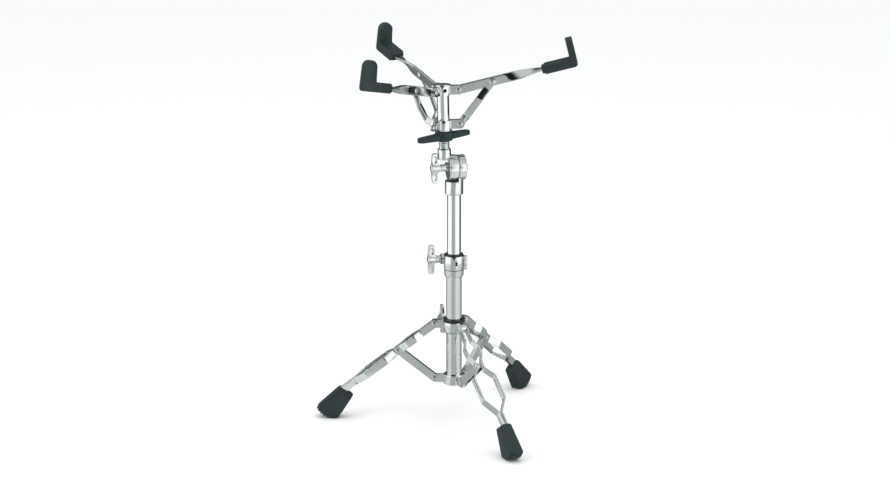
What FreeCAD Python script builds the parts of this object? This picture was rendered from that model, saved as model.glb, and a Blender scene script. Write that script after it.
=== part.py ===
import FreeCAD, Part
import math
import os

# Folding snare drum stand: tripod, telescoping stem, tilter and three-armed basket.
# Millimetres and degrees. The floor is Z = 0, the stem axis is Z and the first leg points along -X.

os.makedirs("parts", exist_ok=True)
V = FreeCAD.Vector
X_AXIS, Y_AXIS, Z_AXIS, ORIGIN = V(1, 0, 0), V(0, 1, 0), V(0, 0, 1), V(0, 0, 0)

# Where the turned pieces point, anticlockwise from +X seen from above
leg_turns = (180, 60, 300)
collar_screw_turn = 120
tilter_turn = 198

# Where the basket's pieces point, anticlockwise from the tilter axis, and the basket's lean along that axis
arm_turns = (164, 284, 44)
set_screw_turn = 93
nut_turn = 19
basket_lean = 1.5

# Fits
running_gap = 0.3
rivet_gap = 0.08

# Stem tubes; the upper slides in the lower
upper_tube_diameter = 22.2
tube_wall = 1.3
lower_tube_length = 188.3
upper_tube_length = 233
upper_tube_insertion = 92.3

# Leg linkage: the leg's upper half and its strut are equally long
link_length = 74.7
leg_slope = 37.8
lug_reach = 18

# Leg bracket and collar
bracket_wall = 3.8
bracket_height = 16.2
bracket_floor = 2.5
lug_height = 13.5
collar_bush_wall = 2.2
collar_wall = 2.8
collar_above_pivot = 4.6
collar_below_pivot = 11.6
collar_flange_above = 4.5
collar_flange_below = 1.2
collar_flange_inset = 0.9
collar_boss_radius = 7
collar_boss_length = 9

# Leg struts, folded channels open below
strut_width = 8
strut_depth = 12.3
strut_sheet = 1.4
strut_web_inset = 10

# Leg strips: half gaps between a leg's two strips
strip_thickness = 2.2
strip_height = 12.3
strip_bulge_gap = 10.5
strip_belly_gap = 17
strip_neck_gap = 1.4
strip_bend_radius = 5

# Where the gaps change: shares of the leg's upper half, then lengths one after another to the strip's end
bulge_shares = (0.36, 0.53, 0.73)
strip_pinch_reach = 7
belly_opening_length = 16
belly_length = 42
belly_closing_length = 25
strip_neck_length = 21.3
strip_tail_length = 18

# Rubber feet, in the leg's plane: u runs down the foot from its neck, v away from the stem
foot_slope = 56
foot_neck_inner, foot_neck_outer = 18, 9
foot_sole_radius = 30
foot_sole_centre_u, foot_sole_centre_v = 26, 4
foot_inner_edge_drop, foot_outer_edge_drop = 19.5, 25
foot_flat_depth = 0.7
foot_neck_width, foot_sole_width = 17, 24
foot_corner_round = 4
tread_count = 5
tread_first = 16
tread_step = 11
tread_width = 2.2
tread_depth = 1.6

# Rivets
rivet_radius = 2.5
rivet_head_radius = 4.2
rivet_head_height = 1.2

# Height clamp on the lower tube's top; its bolt lies behind the stem, parallel to the tilter axis
clamp_overlap = 13
clamp_foot_wall = 1
clamp_shoulder_height = 4
clamp_sleeve_wall = 3
clamp_seat_height = 0.5
clamp_ring_height = 22
clamp_ring_wall = 2.7
clamp_bush_wall = 2.1
clamp_bush_flange_height = 2.4
clamp_bush_flange_width = 1.3
clamp_bolt_distance = 4.8
clamp_ear_gap = 1
clamp_ear_depth = 8
clamp_ear_height = 16
clamp_boss_radius = 8.5
clamp_boss_end = 16.5
clamp_hinge_turn = 150
clamp_hinge_distance = 2.4
clamp_split_angle = 4
hinge_knuckle_radius = 3.2
hinge_knuckle_height = 6.2
hinge_pin_radius = 1.6
key_notch_turn, key_notch_width, key_notch_depth = 78, 3.6, 2.2
leaf_slot_turn, leaf_slot_width, leaf_slot_height, leaf_slot_depth = 90, 3.3, 6.4, 1.8

# Bolts and wing nuts
bolt_radius = 4
bolt_head_radius = 7
bolt_head_height = 4
bolt_end_in_wing = 13
wing_span = 48
wing_tip_depth = 10.5
wing_thickness = 5
wing_hub_radius = 6.4
wing_bow = 1.8
wing_root_flare = 0.6
wing_corner_round = 2.4
wing_clearance = 0.7
clamp_wing_length = 21
collar_wing_length = 22

# Tilter; distances along its axis are from the stem axis, positive towards the wing nut
tilter_sleeve_length = 21.9
tilter_sleeve_cap = 3.2
tilter_sleeve_wall = 3.4
tilter_sleeve_taper = 0.9
tilter_disc_radius = 20
tilter_disc_rise = 0.8
tilter_seam = -4.6
base_disc_thickness = 12
head_disc_thickness = 15
disc_rim_round = 1.5
socket_offset = 15.5
socket_radius = 10.5
socket_rise = 14.3
socket_floor = 5
socket_above_disc = 12
socket_round = 2
neck_half_width = 8
neck_rise = 4.3
neck_wing_clearance = 9

# Basket nut, and the shaft it climbs
screw_radius = 8.4
screw_pitch = 3
screw_depth = 0.8
screw_lead_in = 1
nut_rise = 12.2
nut_height = 16
nut_climb = 10.7
nut_boss_wall = 7.2
nut_boss_taper = 2.5
nut_reach = 50
nut_root_half_width, nut_tip_half_width = 12, 7.5
nut_sweep = 3.5
nut_tip_height, nut_root_height = 7, 12
nut_paddle_rise = 6.2
shaft_radius = 9.5
shaft_end = 0.6
shaft_top_round = 0.5

# Basket hubs: the lower rides on the nut, the upper is fixed
hub_wall = 3.2
hub_height = 16
hub_spacing = 56.3
hub_ear_thickness = 2.6
hub_ear_height = 14
set_screw_radius = 3
set_screw_recess_radius = 1.6
set_screw_recess_depth = 2

# Basket linkage: pivots out from the hubs and up from their feet
arm_pivot_out = 12.3
arm_pivot_rise = 7.6
arm_slope = 13
arm_strut_distance = 53.6
slider_pivot_out = 13.3
slider_pivot_rise = 9.6
slider_play = 1.1

# Basket arms: beyond the strut's rivet an upright length, then the quarter twist
arm_height = 14.5
arm_thickness = 4
arm_upright_length = 24.4
arm_helix_length = 52.5
arm_helix_steps = 6
arm_helix_angle = -90

# Basket struts: a strip between the lower hub's ears, bowed out to one side and brought back beside the arm
basket_strut_strip = 2.2
basket_strut_width = 11.5
basket_strut_bow = 8.5
basket_strut_bend_radius = 4
hub_end_length, hub_joggle_length = 9, 9
arm_end_length, arm_joggle_length = 13.5, 19.5

# Rubber grips: a stepped bar round the arm's end and an upright tongue
grip_clearance = 2
grip_step_length = 8
grip_step_inset = 2
grip_length = 56
grip_below_arm, grip_above_arm, grip_beside_arm = 5.9, 5.1, 5.45
grip_upright_height = 46.5
grip_upright_thickness = 10.6
grip_end_wall = 11
grip_round = 2.4
grip_heel_round = 5
grip_top_round = 10

# Sizes across the stem that follow from those above
upper_tube_radius = upper_tube_diameter / 2
upper_tube_bore = upper_tube_radius - tube_wall
lower_tube_bore = upper_tube_radius + running_gap
lower_tube_radius = lower_tube_bore + tube_wall
leg_pivot_radius = lower_tube_radius + lug_reach
bracket_radius = lower_tube_radius + bracket_wall
collar_bush_bore = lower_tube_radius + running_gap
collar_bore = collar_bush_bore + collar_bush_wall
collar_radius = collar_bore + collar_wall
collar_boss_reach = collar_radius + collar_boss_length
strip_inner_gap = strut_width / 2 + running_gap
strip_outer_gap = strip_inner_gap + strip_thickness
strut_lug_thickness = strut_width - 2 * (strut_sheet + running_gap)
clamp_bush_bore = upper_tube_radius + running_gap
clamp_bore = clamp_bush_bore + clamp_bush_wall
clamp_ring_radius = clamp_bore + clamp_ring_wall
clamp_bush_flange_radius = clamp_bore + clamp_bush_flange_width
clamp_bolt_offset = clamp_ring_radius + clamp_bolt_distance
clamp_hinge_radius = clamp_ring_radius + clamp_hinge_distance
clamp_seat = clamp_boss_end + running_gap
tilter_sleeve_radius = upper_tube_radius + tilter_sleeve_wall
base_disc_end = tilter_seam - base_disc_thickness
head_disc_start = tilter_seam + running_gap
head_disc_end = tilter_seam + head_disc_thickness
tilter_seat = head_disc_end + running_gap
tilter_wing_length = socket_offset + socket_radius + wing_clearance + wing_tip_depth - tilter_seat
nut_boss_radius = screw_radius + nut_boss_wall
hub_radius = shaft_radius + hub_wall
arm_pivot_radius = hub_radius + arm_pivot_out
slider_pivot_radius = hub_radius + slider_pivot_out

# Places along the leg, from its collar rivet
strip_bulge_start, strip_bulge_full, strip_bulge_end = [share * link_length for share in bulge_shares]
strip_pinch_start = link_length - strip_pinch_reach
strip_belly_start = link_length + strip_pinch_reach
strip_belly_full = strip_belly_start + belly_opening_length
strip_belly_end = strip_belly_full + belly_length
strip_neck = strip_belly_end + belly_closing_length
foot_neck_along_leg = strip_neck + strip_neck_length
strip_end = foot_neck_along_leg + strip_tail_length

# Heights, from the floor up through the feet and legs to the stem
sole_centre_height = foot_sole_radius - foot_flat_depth
foot_neck_height = (
    sole_centre_height + foot_sole_centre_u * math.sin(math.radians(foot_slope))
    - foot_sole_centre_v * math.cos(math.radians(foot_slope))
)
link_rise = link_length * math.sin(math.radians(leg_slope))
link_run = link_length * math.cos(math.radians(leg_slope))
collar_pivot_height = foot_neck_height + foot_neck_along_leg * math.sin(math.radians(leg_slope))
mid_pivot_height = collar_pivot_height - link_rise
mid_pivot_radius = leg_pivot_radius + link_run
bracket_pivot_height = mid_pivot_height - link_rise
bracket_foot = bracket_pivot_height - bracket_height / 2
bracket_top = bracket_foot + bracket_height
lower_tube_foot = bracket_foot + bracket_floor
lower_tube_top = lower_tube_foot + lower_tube_length
collar_foot = collar_pivot_height - collar_below_pivot
collar_top = collar_pivot_height + collar_above_pivot
collar_middle = (collar_foot + collar_top) / 2

# Heights, from the lower tube up through the clamp and tilter
clamp_foot = lower_tube_top - clamp_overlap
clamp_shoulder = clamp_foot + clamp_shoulder_height
clamp_ring_foot = lower_tube_top + clamp_seat_height
clamp_ring_top = clamp_ring_foot + clamp_ring_height
clamp_middle = clamp_ring_foot + clamp_ring_height / 2
upper_tube_foot = lower_tube_top - upper_tube_insertion
upper_tube_top = upper_tube_foot + upper_tube_length
tilter_sleeve_top = upper_tube_top + tilter_sleeve_cap
tilter_sleeve_foot = tilter_sleeve_top - tilter_sleeve_length
tilter_height = tilter_sleeve_top + tilter_disc_rise + tilter_disc_radius
neck_foot = tilter_height + neck_rise
socket_foot = tilter_height + socket_rise
socket_seat = socket_foot + socket_floor
socket_top = tilter_height + tilter_disc_radius + socket_above_disc

# Heights in the basket, before it leans
screw_start = socket_top + screw_lead_in
nut_foot = socket_top + nut_rise
nut_top = nut_foot + nut_height
nut_paddle_height = nut_foot + nut_paddle_rise
shaft_step = nut_top + nut_climb
screw_turns = int((shaft_step - screw_start) / screw_pitch)
lower_hub_foot = nut_top + running_gap
upper_hub_foot = lower_hub_foot + hub_spacing
upper_hub_middle = upper_hub_foot + hub_height / 2
shaft_top = upper_hub_foot + hub_height + shaft_end
arm_pivot_height = upper_hub_foot + arm_pivot_rise
slider_pivot_height = lower_hub_foot + slider_pivot_rise
strut_top_radius = arm_pivot_radius + arm_strut_distance * math.cos(math.radians(arm_slope))
strut_top_height = arm_pivot_height + arm_strut_distance * math.sin(math.radians(arm_slope))
basket_strut_run = strut_top_radius - slider_pivot_radius
basket_strut_rise = strut_top_height - slider_pivot_height
basket_strut_length = math.hypot(basket_strut_run, basket_strut_rise)
basket_strut_slope = math.degrees(math.atan2(basket_strut_rise, basket_strut_run))
arm_slot = arm_thickness / 2 + running_gap
arm_strut_outer = arm_slot + basket_strut_strip
hub_ear_outer = arm_slot + hub_ear_thickness
strut_slot = basket_strut_strip / 2 + running_gap
slider_ear_outer = strut_slot + hub_ear_thickness

# Places along the arm, from its hub rivet
arm_helix_start = arm_strut_distance + arm_upright_length
arm_helix_end = arm_helix_start + arm_helix_length
grip_start = arm_helix_end + grip_clearance
grip_step = grip_start + grip_step_length
grip_outer = grip_start + grip_length
arm_end = grip_outer - grip_end_wall


def save(name, shape):
    shape.removeSplitter().exportStep("parts/" + name + ".step")


def post(radius, low, high):
    return Part.makeCylinder(radius, high - low, V(0, 0, low))


def tube(outer, inner, low, high):
    return post(outer, low, high).cut(post(inner, low, high))


def pin_x(radius, start, end, y, z):
    return Part.makeCylinder(radius, end - start, V(start, y, z), X_AXIS)


def pin_y(radius, half_length, x, z):
    return Part.makeCylinder(radius, 2 * half_length, V(x, -half_length, z), Y_AXIS)


def block(x_low, x_high, y_low, y_high, z_low, z_high):
    return Part.makeBox(x_high - x_low, y_high - y_low, z_high - z_low, V(x_low, y_low, z_low))


def closed_face(points):
    return Part.Face(Part.makePolygon(points + [points[0]]))


def slab(points, half_width):
    """Outline of (x, z) points, as thick as twice half_width about the XZ plane."""
    return closed_face([V(x, -half_width, z) for x, z in points]).extrude(V(0, 2 * half_width, 0))


def spun(points):
    """Solid of revolution about Z from (radius, height) points."""
    return closed_face([V(r, 0, z) for r, z in points]).revolve(ORIGIN, Z_AXIS, 360)


def link(length, width, half_thickness):
    """Flat link with round ends, from the origin along X."""
    ends = pin_y(width / 2, half_thickness, 0, 0).fuse(pin_y(width / 2, half_thickness, length, 0))
    return ends.fuse(block(0, length, -half_thickness, half_thickness, -width / 2, width / 2))


def rivet(left_grip, right_grip):
    """Rivet along Y through the origin, its domed heads so far to the left and to the right of it."""
    dome_radius = (rivet_head_radius ** 2 + rivet_head_height ** 2) / (2 * rivet_head_height)
    shape = Part.makeCylinder(rivet_radius, left_grip + right_grip, V(0, -right_grip, 0), Y_AXIS)
    for side, grip in ((1, left_grip), (-1, right_grip)):
        dome_middle = grip + rivet_head_height - dome_radius
        dome = Part.makeSphere(dome_radius, V(0, side * dome_middle, 0))
        room = Part.makeCylinder(rivet_head_radius, rivet_head_height, V(0, side * grip, 0), V(0, side, 0))
        shape = shape.fuse(dome.common(room))
    return shape


def rounded_path(points, radius):
    """Path with each bend replaced by three points on an arc of the given radius."""
    path = [points[0]]
    for before, bend, after in zip(points, points[1:], points[2:]):
        corner = V(bend[0], bend[1], 0)
        back = V(before[0] - bend[0], before[1] - bend[1], 0).normalize()
        ahead = V(after[0] - bend[0], after[1] - bend[1], 0).normalize()
        half_angle = back.getAngle(ahead) / 2
        reach = radius / math.tan(half_angle)
        middle = corner + (back + ahead).normalize() * (radius / math.sin(half_angle) - radius)
        path += [(p.x, p.y) for p in (corner + back * reach, middle, corner + ahead * reach)]
    return path + [points[-1]]


def ribbon(path, thickness, height):
    """Strip with one face on the path, its thickness to the left of the path, standing along Z."""
    outer = []
    for k, (x, y) in enumerate(path):
        x_back, y_back = path[k - 1] if k else (x, y)
        x_next, y_next = path[k + 1] if k < len(path) - 1 else (x, y)
        before = math.atan2(y - y_back, x - x_back)
        after = math.atan2(y_next - y, x_next - x) if k < len(path) - 1 else before
        before = before if k else after
        mitre = thickness / math.cos((after - before) / 2)
        normal = (before + after) / 2 + math.pi / 2
        outer.append((x + mitre * math.cos(normal), y + mitre * math.sin(normal)))
    face = closed_face([V(x, y, -height / 2) for x, y in path + outer[::-1]])
    return face.extrude(V(0, 0, height))


def wing(length, bore_depth):
    """Wing nut along X from its seat at the origin, its wings up and down, with a blind bore."""
    tip, face, reach, side = length - wing_tip_depth, length - wing_bow, wing_span / 2, -wing_thickness / 2
    root = tip - wing_root_flare
    corners = [V(x, side, z) for x, z in (
        (face, -reach), (tip, -reach), (root, -wing_hub_radius),
        (root, wing_hub_radius), (tip, reach), (face, reach),
    )]
    bowed = Part.Arc(corners[-1], V(length, side, 0), corners[0]).toShape()
    plate = Part.Face(Part.Wire(Part.makePolygon(corners).Edges + [bowed])).extrude(V(0, wing_thickness, 0))
    middles = [(e, e.CenterOfMass) for e in plate.Edges]
    tips = [e for e, middle in middles if abs(middle.y) < running_gap and abs(middle.z) > reach / 2]
    plate = plate.makeFillet(wing_corner_round, tips)
    nut = plate.fuse(pin_x(wing_hub_radius, 0, length, 0, 0))
    return nut.cut(pin_x(bolt_radius + running_gap, 0, bore_depth, 0, 0)) if bore_depth else nut


def sector(outer, inner, low, high, start, end):
    """Part of a ring between two angles."""
    wedge = Part.makeCylinder(outer, high - low, V(0, 0, low), Z_AXIS, end - start)
    return wedge.rotated(ORIGIN, Z_AXIS, start).cut(post(inner, low, high))


def around(shape, turn, offset=ORIGIN):
    """Shape turned about Z, then carried by an offset."""
    return shape.rotated(ORIGIN, Z_AXIS, turn).translated(offset)


def sloped(shape, fall, x, z):
    """Shape built along X at the origin, tipped down by an angle and carried to (x, z)."""
    return shape.rotated(ORIGIN, Y_AXIS, fall).translated(V(x, 0, z))


# Lower tube, and the leg bracket that closes its foot
save("lower_tube", tube(lower_tube_radius, lower_tube_bore, lower_tube_foot, lower_tube_top))
bracket = post(bracket_radius, bracket_foot, bracket_top)
bracket_lug = link(lug_reach, lug_height, strut_lug_thickness / 2)
bracket_lug = bracket_lug.cut(pin_y(rivet_radius, strut_width, lug_reach, 0))
for turn in leg_turns:
    lug_place = V(lower_tube_radius, 0, bracket_pivot_height)
    bracket = bracket.fuse(around(bracket_lug.translated(lug_place), turn))
save("leg_bracket", bracket.cut(post(lower_tube_radius, lower_tube_foot, bracket_top)))

# Sliding leg collar with a lug for each leg and a boss for its wing screw, and its bush
collar = post(collar_radius, collar_foot, collar_top)
collar_lug = link(lug_reach, lug_height, strut_width / 2)
collar_lug = collar_lug.cut(pin_y(rivet_radius + rivet_gap, strut_width, lug_reach, 0))
for turn in leg_turns:
    collar = collar.fuse(around(collar_lug.translated(V(lower_tube_radius, 0, collar_pivot_height)), turn))
collar_boss = pin_x(collar_boss_radius, 0, collar_boss_reach, 0, collar_middle)
collar = collar.fuse(around(collar_boss, collar_screw_turn))
screw_hole = pin_x(bolt_radius + running_gap, 0, collar_boss_reach, 0, collar_middle)
screw_hole = around(screw_hole, collar_screw_turn)
collar = collar.cut(post(collar_bore, collar_foot - lug_height, collar_top + lug_height))
save("leg_collar", collar.cut(screw_hole))
flange_radius = collar_radius - collar_flange_inset
bush_foot, bush_top = collar_foot - collar_flange_below, collar_top + collar_flange_above
bush = post(collar_bore, bush_foot, bush_top)
flange_room = link(lug_reach, lug_height, strut_width / 2 + running_gap)
top_flange = post(flange_radius, collar_top, bush_top)
for turn in leg_turns:
    room = flange_room.translated(V(lower_tube_radius, 0, collar_pivot_height))
    top_flange = top_flange.cut(around(room, turn))
bush = bush.fuse(top_flange).fuse(post(flange_radius, bush_foot, collar_foot))
save("collar_bush", bush.cut(post(collar_bush_bore, bush_foot, bush_top)).cut(screw_hole))
screw_tip, screw_seat = lower_tube_radius + running_gap, collar_boss_reach + running_gap
collar_screw = wing(collar_wing_length, 0).fuse(pin_x(bolt_radius, screw_tip - screw_seat, 0, 0, 0))
save("collar_screw", around(collar_screw.translated(V(screw_seat, 0, collar_middle)), collar_screw_turn))

# Leg strut: a folded channel whose cheeks straddle the bracket's lug
cheek_inside = strut_width / 2 - strut_sheet
strut = link(link_length, strut_depth, strut_width / 2)
strut_far = link_length + strut_depth
strut = strut.cut(block(
    -strut_depth, strut_far, -cheek_inside, cheek_inside, -strut_depth, strut_depth / 2 - strut_sheet
))
for start, end in ((-strut_depth, strut_web_inset), (link_length - strut_web_inset, strut_far)):
    strut = strut.cut(block(start, end, -cheek_inside, cheek_inside, -strut_depth, strut_depth))
for end in (0, link_length):
    strut = strut.cut(pin_y(rivet_radius + rivet_gap, strut_width, end, 0))

# Leg strip: from the collar it runs close, bulges, is pinched on the strut, bellies out, closes at the foot
strip_path = [
    (-strip_height, strip_inner_gap), (strip_bulge_start, strip_inner_gap),
    (strip_bulge_full, strip_bulge_gap), (strip_bulge_end, strip_bulge_gap),
    (strip_pinch_start, strip_inner_gap), (strip_belly_start, strip_inner_gap),
    (strip_belly_full, strip_belly_gap), (strip_belly_end, strip_belly_gap),
    (strip_neck, strip_neck_gap), (strip_end, strip_neck_gap),
]
strip = ribbon(rounded_path(strip_path, strip_bend_radius), strip_thickness, strip_height)
strip = strip.common(link(strip_end - strip_height / 2, strip_height, strip_belly_gap + strip_height))
for end in (0, link_length):
    strip = strip.cut(pin_y(rivet_radius, strip_belly_gap, end, 0))
strip_pair = (strip, strip.mirror(ORIGIN, Y_AXIS))
strips = [sloped(s, leg_slope, leg_pivot_radius, collar_pivot_height) for s in strip_pair]


def on_sole(drop, side):
    """Point of the foot's round sole, so far down the foot from its centre, on its outer or inner side."""
    across = side * math.sqrt(foot_sole_radius ** 2 - drop ** 2)
    return V(foot_sole_centre_u + drop, 0, foot_sole_centre_v + across)


# Rubber foot: a fan in the leg's plane, wider at its sole, with a flat to stand on and tread grooves
inner_edge, outer_edge = on_sole(foot_inner_edge_drop, -1), on_sole(foot_outer_edge_drop, 1)
sole_length = foot_sole_centre_u + foot_sole_radius
neck_inner, neck_outer = V(0, 0, -foot_neck_inner), V(0, 0, foot_neck_outer)
fan_wire = Part.Wire([
    Part.makeLine(neck_outer, neck_inner), Part.makeLine(neck_inner, inner_edge),
    Part.Arc(inner_edge, V(sole_length, 0, foot_sole_centre_v), outer_edge).toShape(),
    Part.makeLine(outer_edge, neck_outer),
])
fan = Part.Face(fan_wire).extrude(V(0, foot_sole_width, 0)).translated(V(0, -foot_sole_width / 2, 0))
fan = fan.makeFillet(foot_corner_round, [e for e in fan.Edges if abs(e.CenterOfMass.y) < running_gap])
half_neck, half_sole = foot_neck_width / 2, foot_sole_width / 2
taper = closed_face([
    V(0, -half_neck, -sole_length), V(0, half_neck, -sole_length),
    V(sole_length, half_sole, -sole_length), V(sole_length, -half_sole, -sole_length),
]).extrude(V(0, 0, 2 * sole_length))
neck_x = leg_pivot_radius + foot_neck_along_leg * math.cos(math.radians(leg_slope))
groove = block(
    -tread_width / 2, tread_width / 2, -foot_sole_width, foot_sole_width,
    -2 * foot_sole_radius, tread_depth - foot_sole_radius,
)
sole_centre = V(foot_sole_centre_u, 0, foot_sole_centre_v)
foot = fan.common(taper)
for k in range(tread_count):
    tread_angle = foot_slope + tread_first + k * tread_step
    foot = foot.cut(groove.rotated(ORIGIN, Y_AXIS, -tread_angle).translated(sole_centre))
foot = sloped(foot, foot_slope, neck_x, foot_neck_height)
foot = foot.cut(block(0, neck_x + sole_length, -foot_sole_width, foot_sole_width, -sole_length, 0))
foot = foot.cut(strips[0]).cut(strips[1])

placed_strut = sloped(strut, -leg_slope, leg_pivot_radius, bracket_pivot_height)
bracket_grip = strut_width / 2 + running_gap
bracket_rivet = rivet(bracket_grip, bracket_grip).translated(V(leg_pivot_radius, 0, bracket_pivot_height))
collar_rivet = rivet(strip_outer_gap, strip_outer_gap).translated(V(leg_pivot_radius, 0, collar_pivot_height))
leg_rivet = rivet(strip_outer_gap, strip_outer_gap).translated(V(mid_pivot_radius, 0, mid_pivot_height))
for n, turn in enumerate(leg_turns, 1):
    save("leg_strut_%d" % n, around(placed_strut, turn))
    save("leg_strip_%da" % n, around(strips[0], turn))
    save("leg_strip_%db" % n, around(strips[1], turn))
    save("foot_%d" % n, around(foot, turn))
    save("bracket_rivet_%d" % n, around(bracket_rivet, turn))
    save("collar_rivet_%d" % n, around(collar_rivet, turn))
    save("leg_rivet_%d" % n, around(leg_rivet, turn))

# Height clamp, built with its bolt along X and its two ears at -Y, then turned with the tilter axis
ears_turn = 270
hinge_angle = math.radians(clamp_hinge_turn)
hinge = V(clamp_hinge_radius * math.cos(hinge_angle), clamp_hinge_radius * math.sin(hinge_angle), 0)
low_knuckle, high_knuckle = clamp_ring_foot + hinge_knuckle_height, clamp_ring_top - hinge_knuckle_height
body_knuckles = ((clamp_ring_foot, low_knuckle), (high_knuckle, clamp_ring_top))
ear_low, ear_high = clamp_middle - clamp_ear_height / 2, clamp_middle + clamp_ear_height / 2
ear_end = clamp_ear_gap + clamp_ear_depth
bolt_y = -clamp_bolt_offset
clamp_body = spun([
    (lower_tube_radius, clamp_foot), (lower_tube_radius + clamp_foot_wall, clamp_foot),
    (lower_tube_radius + clamp_sleeve_wall, clamp_shoulder),
    (lower_tube_radius + clamp_sleeve_wall, clamp_ring_foot), (lower_tube_radius, clamp_ring_foot),
])
clamp_body = clamp_body.fuse(sector(
    clamp_ring_radius, clamp_bore, clamp_ring_foot, clamp_ring_top,
    ears_turn + clamp_split_angle, 360 + clamp_hinge_turn - clamp_split_angle,
))
clamp_body = clamp_body.fuse(block(clamp_ear_gap, ear_end, bolt_y, -clamp_bore, ear_low, ear_high))
clamp_body = clamp_body.fuse(pin_x(clamp_boss_radius, clamp_ear_gap, clamp_boss_end, bolt_y, clamp_middle))
for low, high in body_knuckles:
    clamp_body = clamp_body.fuse(post(hinge_knuckle_radius, low, high).translated(hinge))
knuckle_room = hinge_knuckle_radius + running_gap
clamp_body = clamp_body.cut(post(knuckle_room, low_knuckle, high_knuckle).translated(hinge))
clamp_body = clamp_body.cut(post(hinge_pin_radius, clamp_ring_foot, clamp_ring_top).translated(hinge))
clamp_body = clamp_body.cut(post(clamp_bore, clamp_ring_foot, clamp_ring_top))
clamp_body = clamp_body.cut(pin_x(bolt_radius + running_gap, 0, clamp_boss_end, bolt_y, clamp_middle))
notch = block(
    0, 2 * clamp_ring_radius, -key_notch_width / 2, key_notch_width / 2,
    clamp_ring_top - key_notch_depth, clamp_ring_top,
)
slot = block(
    clamp_ring_radius - leaf_slot_depth, 2 * clamp_ring_radius, -leaf_slot_width / 2, leaf_slot_width / 2,
    clamp_middle - leaf_slot_height / 2, clamp_middle + leaf_slot_height / 2,
)
clamp_body = clamp_body.cut(around(notch, key_notch_turn)).cut(around(slot, leaf_slot_turn))
save("clamp_body", around(clamp_body, tilter_turn))

# Its jaw, hinge pin, bush, bolt and wing nut
jaw_low, jaw_high = clamp_ring_foot + running_gap, clamp_ring_top - running_gap
jaw_start, jaw_end = clamp_hinge_turn + clamp_split_angle, ears_turn - clamp_split_angle
jaw = sector(clamp_ring_radius, clamp_bore, jaw_low, jaw_high, jaw_start, jaw_end)
jaw = jaw.fuse(block(-ear_end, -clamp_ear_gap, bolt_y, -clamp_bore, ear_low, ear_high))
jaw = jaw.fuse(pin_x(clamp_boss_radius, -ear_end, -clamp_ear_gap, bolt_y, clamp_middle))
jaw = jaw.cut(post(clamp_bore + running_gap, clamp_ring_foot, clamp_ring_top))
for low, high in body_knuckles:
    jaw = jaw.cut(post(knuckle_room, low, high).translated(hinge))
jaw_knuckle = post(hinge_knuckle_radius, low_knuckle + running_gap, high_knuckle - running_gap)
jaw = jaw.fuse(jaw_knuckle.translated(hinge))
jaw = jaw.cut(post(hinge_pin_radius + rivet_gap, jaw_low, jaw_high).translated(hinge))
jaw = jaw.cut(pin_x(bolt_radius + 2 * running_gap, -ear_end, 0, bolt_y, clamp_middle))
save("clamp_jaw", around(jaw, tilter_turn))
hinge_pin = post(hinge_pin_radius, clamp_ring_foot, clamp_ring_top).translated(hinge)
save("clamp_hinge_pin", around(hinge_pin, tilter_turn))
clamp_bush_top = clamp_ring_top + clamp_bush_flange_height
clamp_bush = post(clamp_bore, clamp_ring_foot, clamp_bush_top)
clamp_bush = clamp_bush.fuse(post(clamp_bush_flange_radius, clamp_ring_top, clamp_bush_top))
save("clamp_bush", clamp_bush.cut(post(clamp_bush_bore, clamp_ring_foot, clamp_bush_top)))
head_face = -ear_end - running_gap
clamp_bolt = pin_x(bolt_head_radius, head_face - bolt_head_height, head_face, bolt_y, clamp_middle)
bolt_end = clamp_seat + bolt_end_in_wing
clamp_bolt = clamp_bolt.fuse(pin_x(bolt_radius, head_face, bolt_end, bolt_y, clamp_middle))
save("clamp_bolt", around(clamp_bolt, tilter_turn))
clamp_wing = wing(clamp_wing_length, bolt_end_in_wing + running_gap)
save("clamp_wing", around(clamp_wing.translated(V(clamp_seat, bolt_y, clamp_middle)), tilter_turn))


def disc(start, end):
    """Tilter disc with rounded rims."""
    shape = pin_x(tilter_disc_radius, start, end, 0, tilter_height)
    return shape.makeFillet(disc_rim_round, [e for e in shape.Edges if e.isClosed()])


# Upper tube, and the tilter base on it: a sleeve with a disc beside the seam
save("upper_tube", tube(upper_tube_radius, upper_tube_bore, upper_tube_foot, upper_tube_top))
sleeve_rim = tilter_sleeve_radius - tilter_sleeve_taper
base = spun([
    (0, tilter_sleeve_foot), (sleeve_rim, tilter_sleeve_foot),
    (tilter_sleeve_radius, tilter_sleeve_foot + tilter_sleeve_taper),
    (tilter_sleeve_radius, tilter_sleeve_top - tilter_sleeve_taper), (sleeve_rim, tilter_sleeve_top),
    (0, tilter_sleeve_top),
])
base = base.fuse(disc(base_disc_end, tilter_seam))
beside_seam = block(
    -tilter_sleeve_radius, tilter_seam, -tilter_sleeve_radius, tilter_sleeve_radius,
    upper_tube_top, tilter_height,
)
base = base.fuse(post(tilter_sleeve_radius, upper_tube_top, tilter_height).common(beside_seam))
base = base.cut(post(upper_tube_radius, tilter_sleeve_foot, upper_tube_top))
base = base.cut(pin_x(bolt_radius, base_disc_end, tilter_seam, 0, tilter_height))
save("tilter_base", around(base, tilter_turn))
bolt = pin_x(bolt_head_radius, base_disc_end - bolt_head_height, base_disc_end, 0, tilter_height)
bolt = bolt.fuse(pin_x(bolt_radius, base_disc_end, tilter_seat + bolt_end_in_wing, 0, tilter_height))
save("tilter_bolt", around(bolt, tilter_turn))
tilter_wing = wing(tilter_wing_length, bolt_end_in_wing + running_gap)
save("tilter_wing", around(tilter_wing.translated(V(tilter_seat, 0, tilter_height)), tilter_turn))

def leaned(shape, turn=0):
    """Shape of the basket, built about Z: turned, carried to the socket and leaned with it."""
    foot_of_socket = V(socket_offset, 0, socket_foot)
    return around(shape, turn, V(socket_offset, 0, 0)).rotated(foot_of_socket, Y_AXIS, basket_lean)


def save_in_basket(name, shape, turn=0):
    save(name, around(leaned(shape, turn), tilter_turn))


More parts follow.
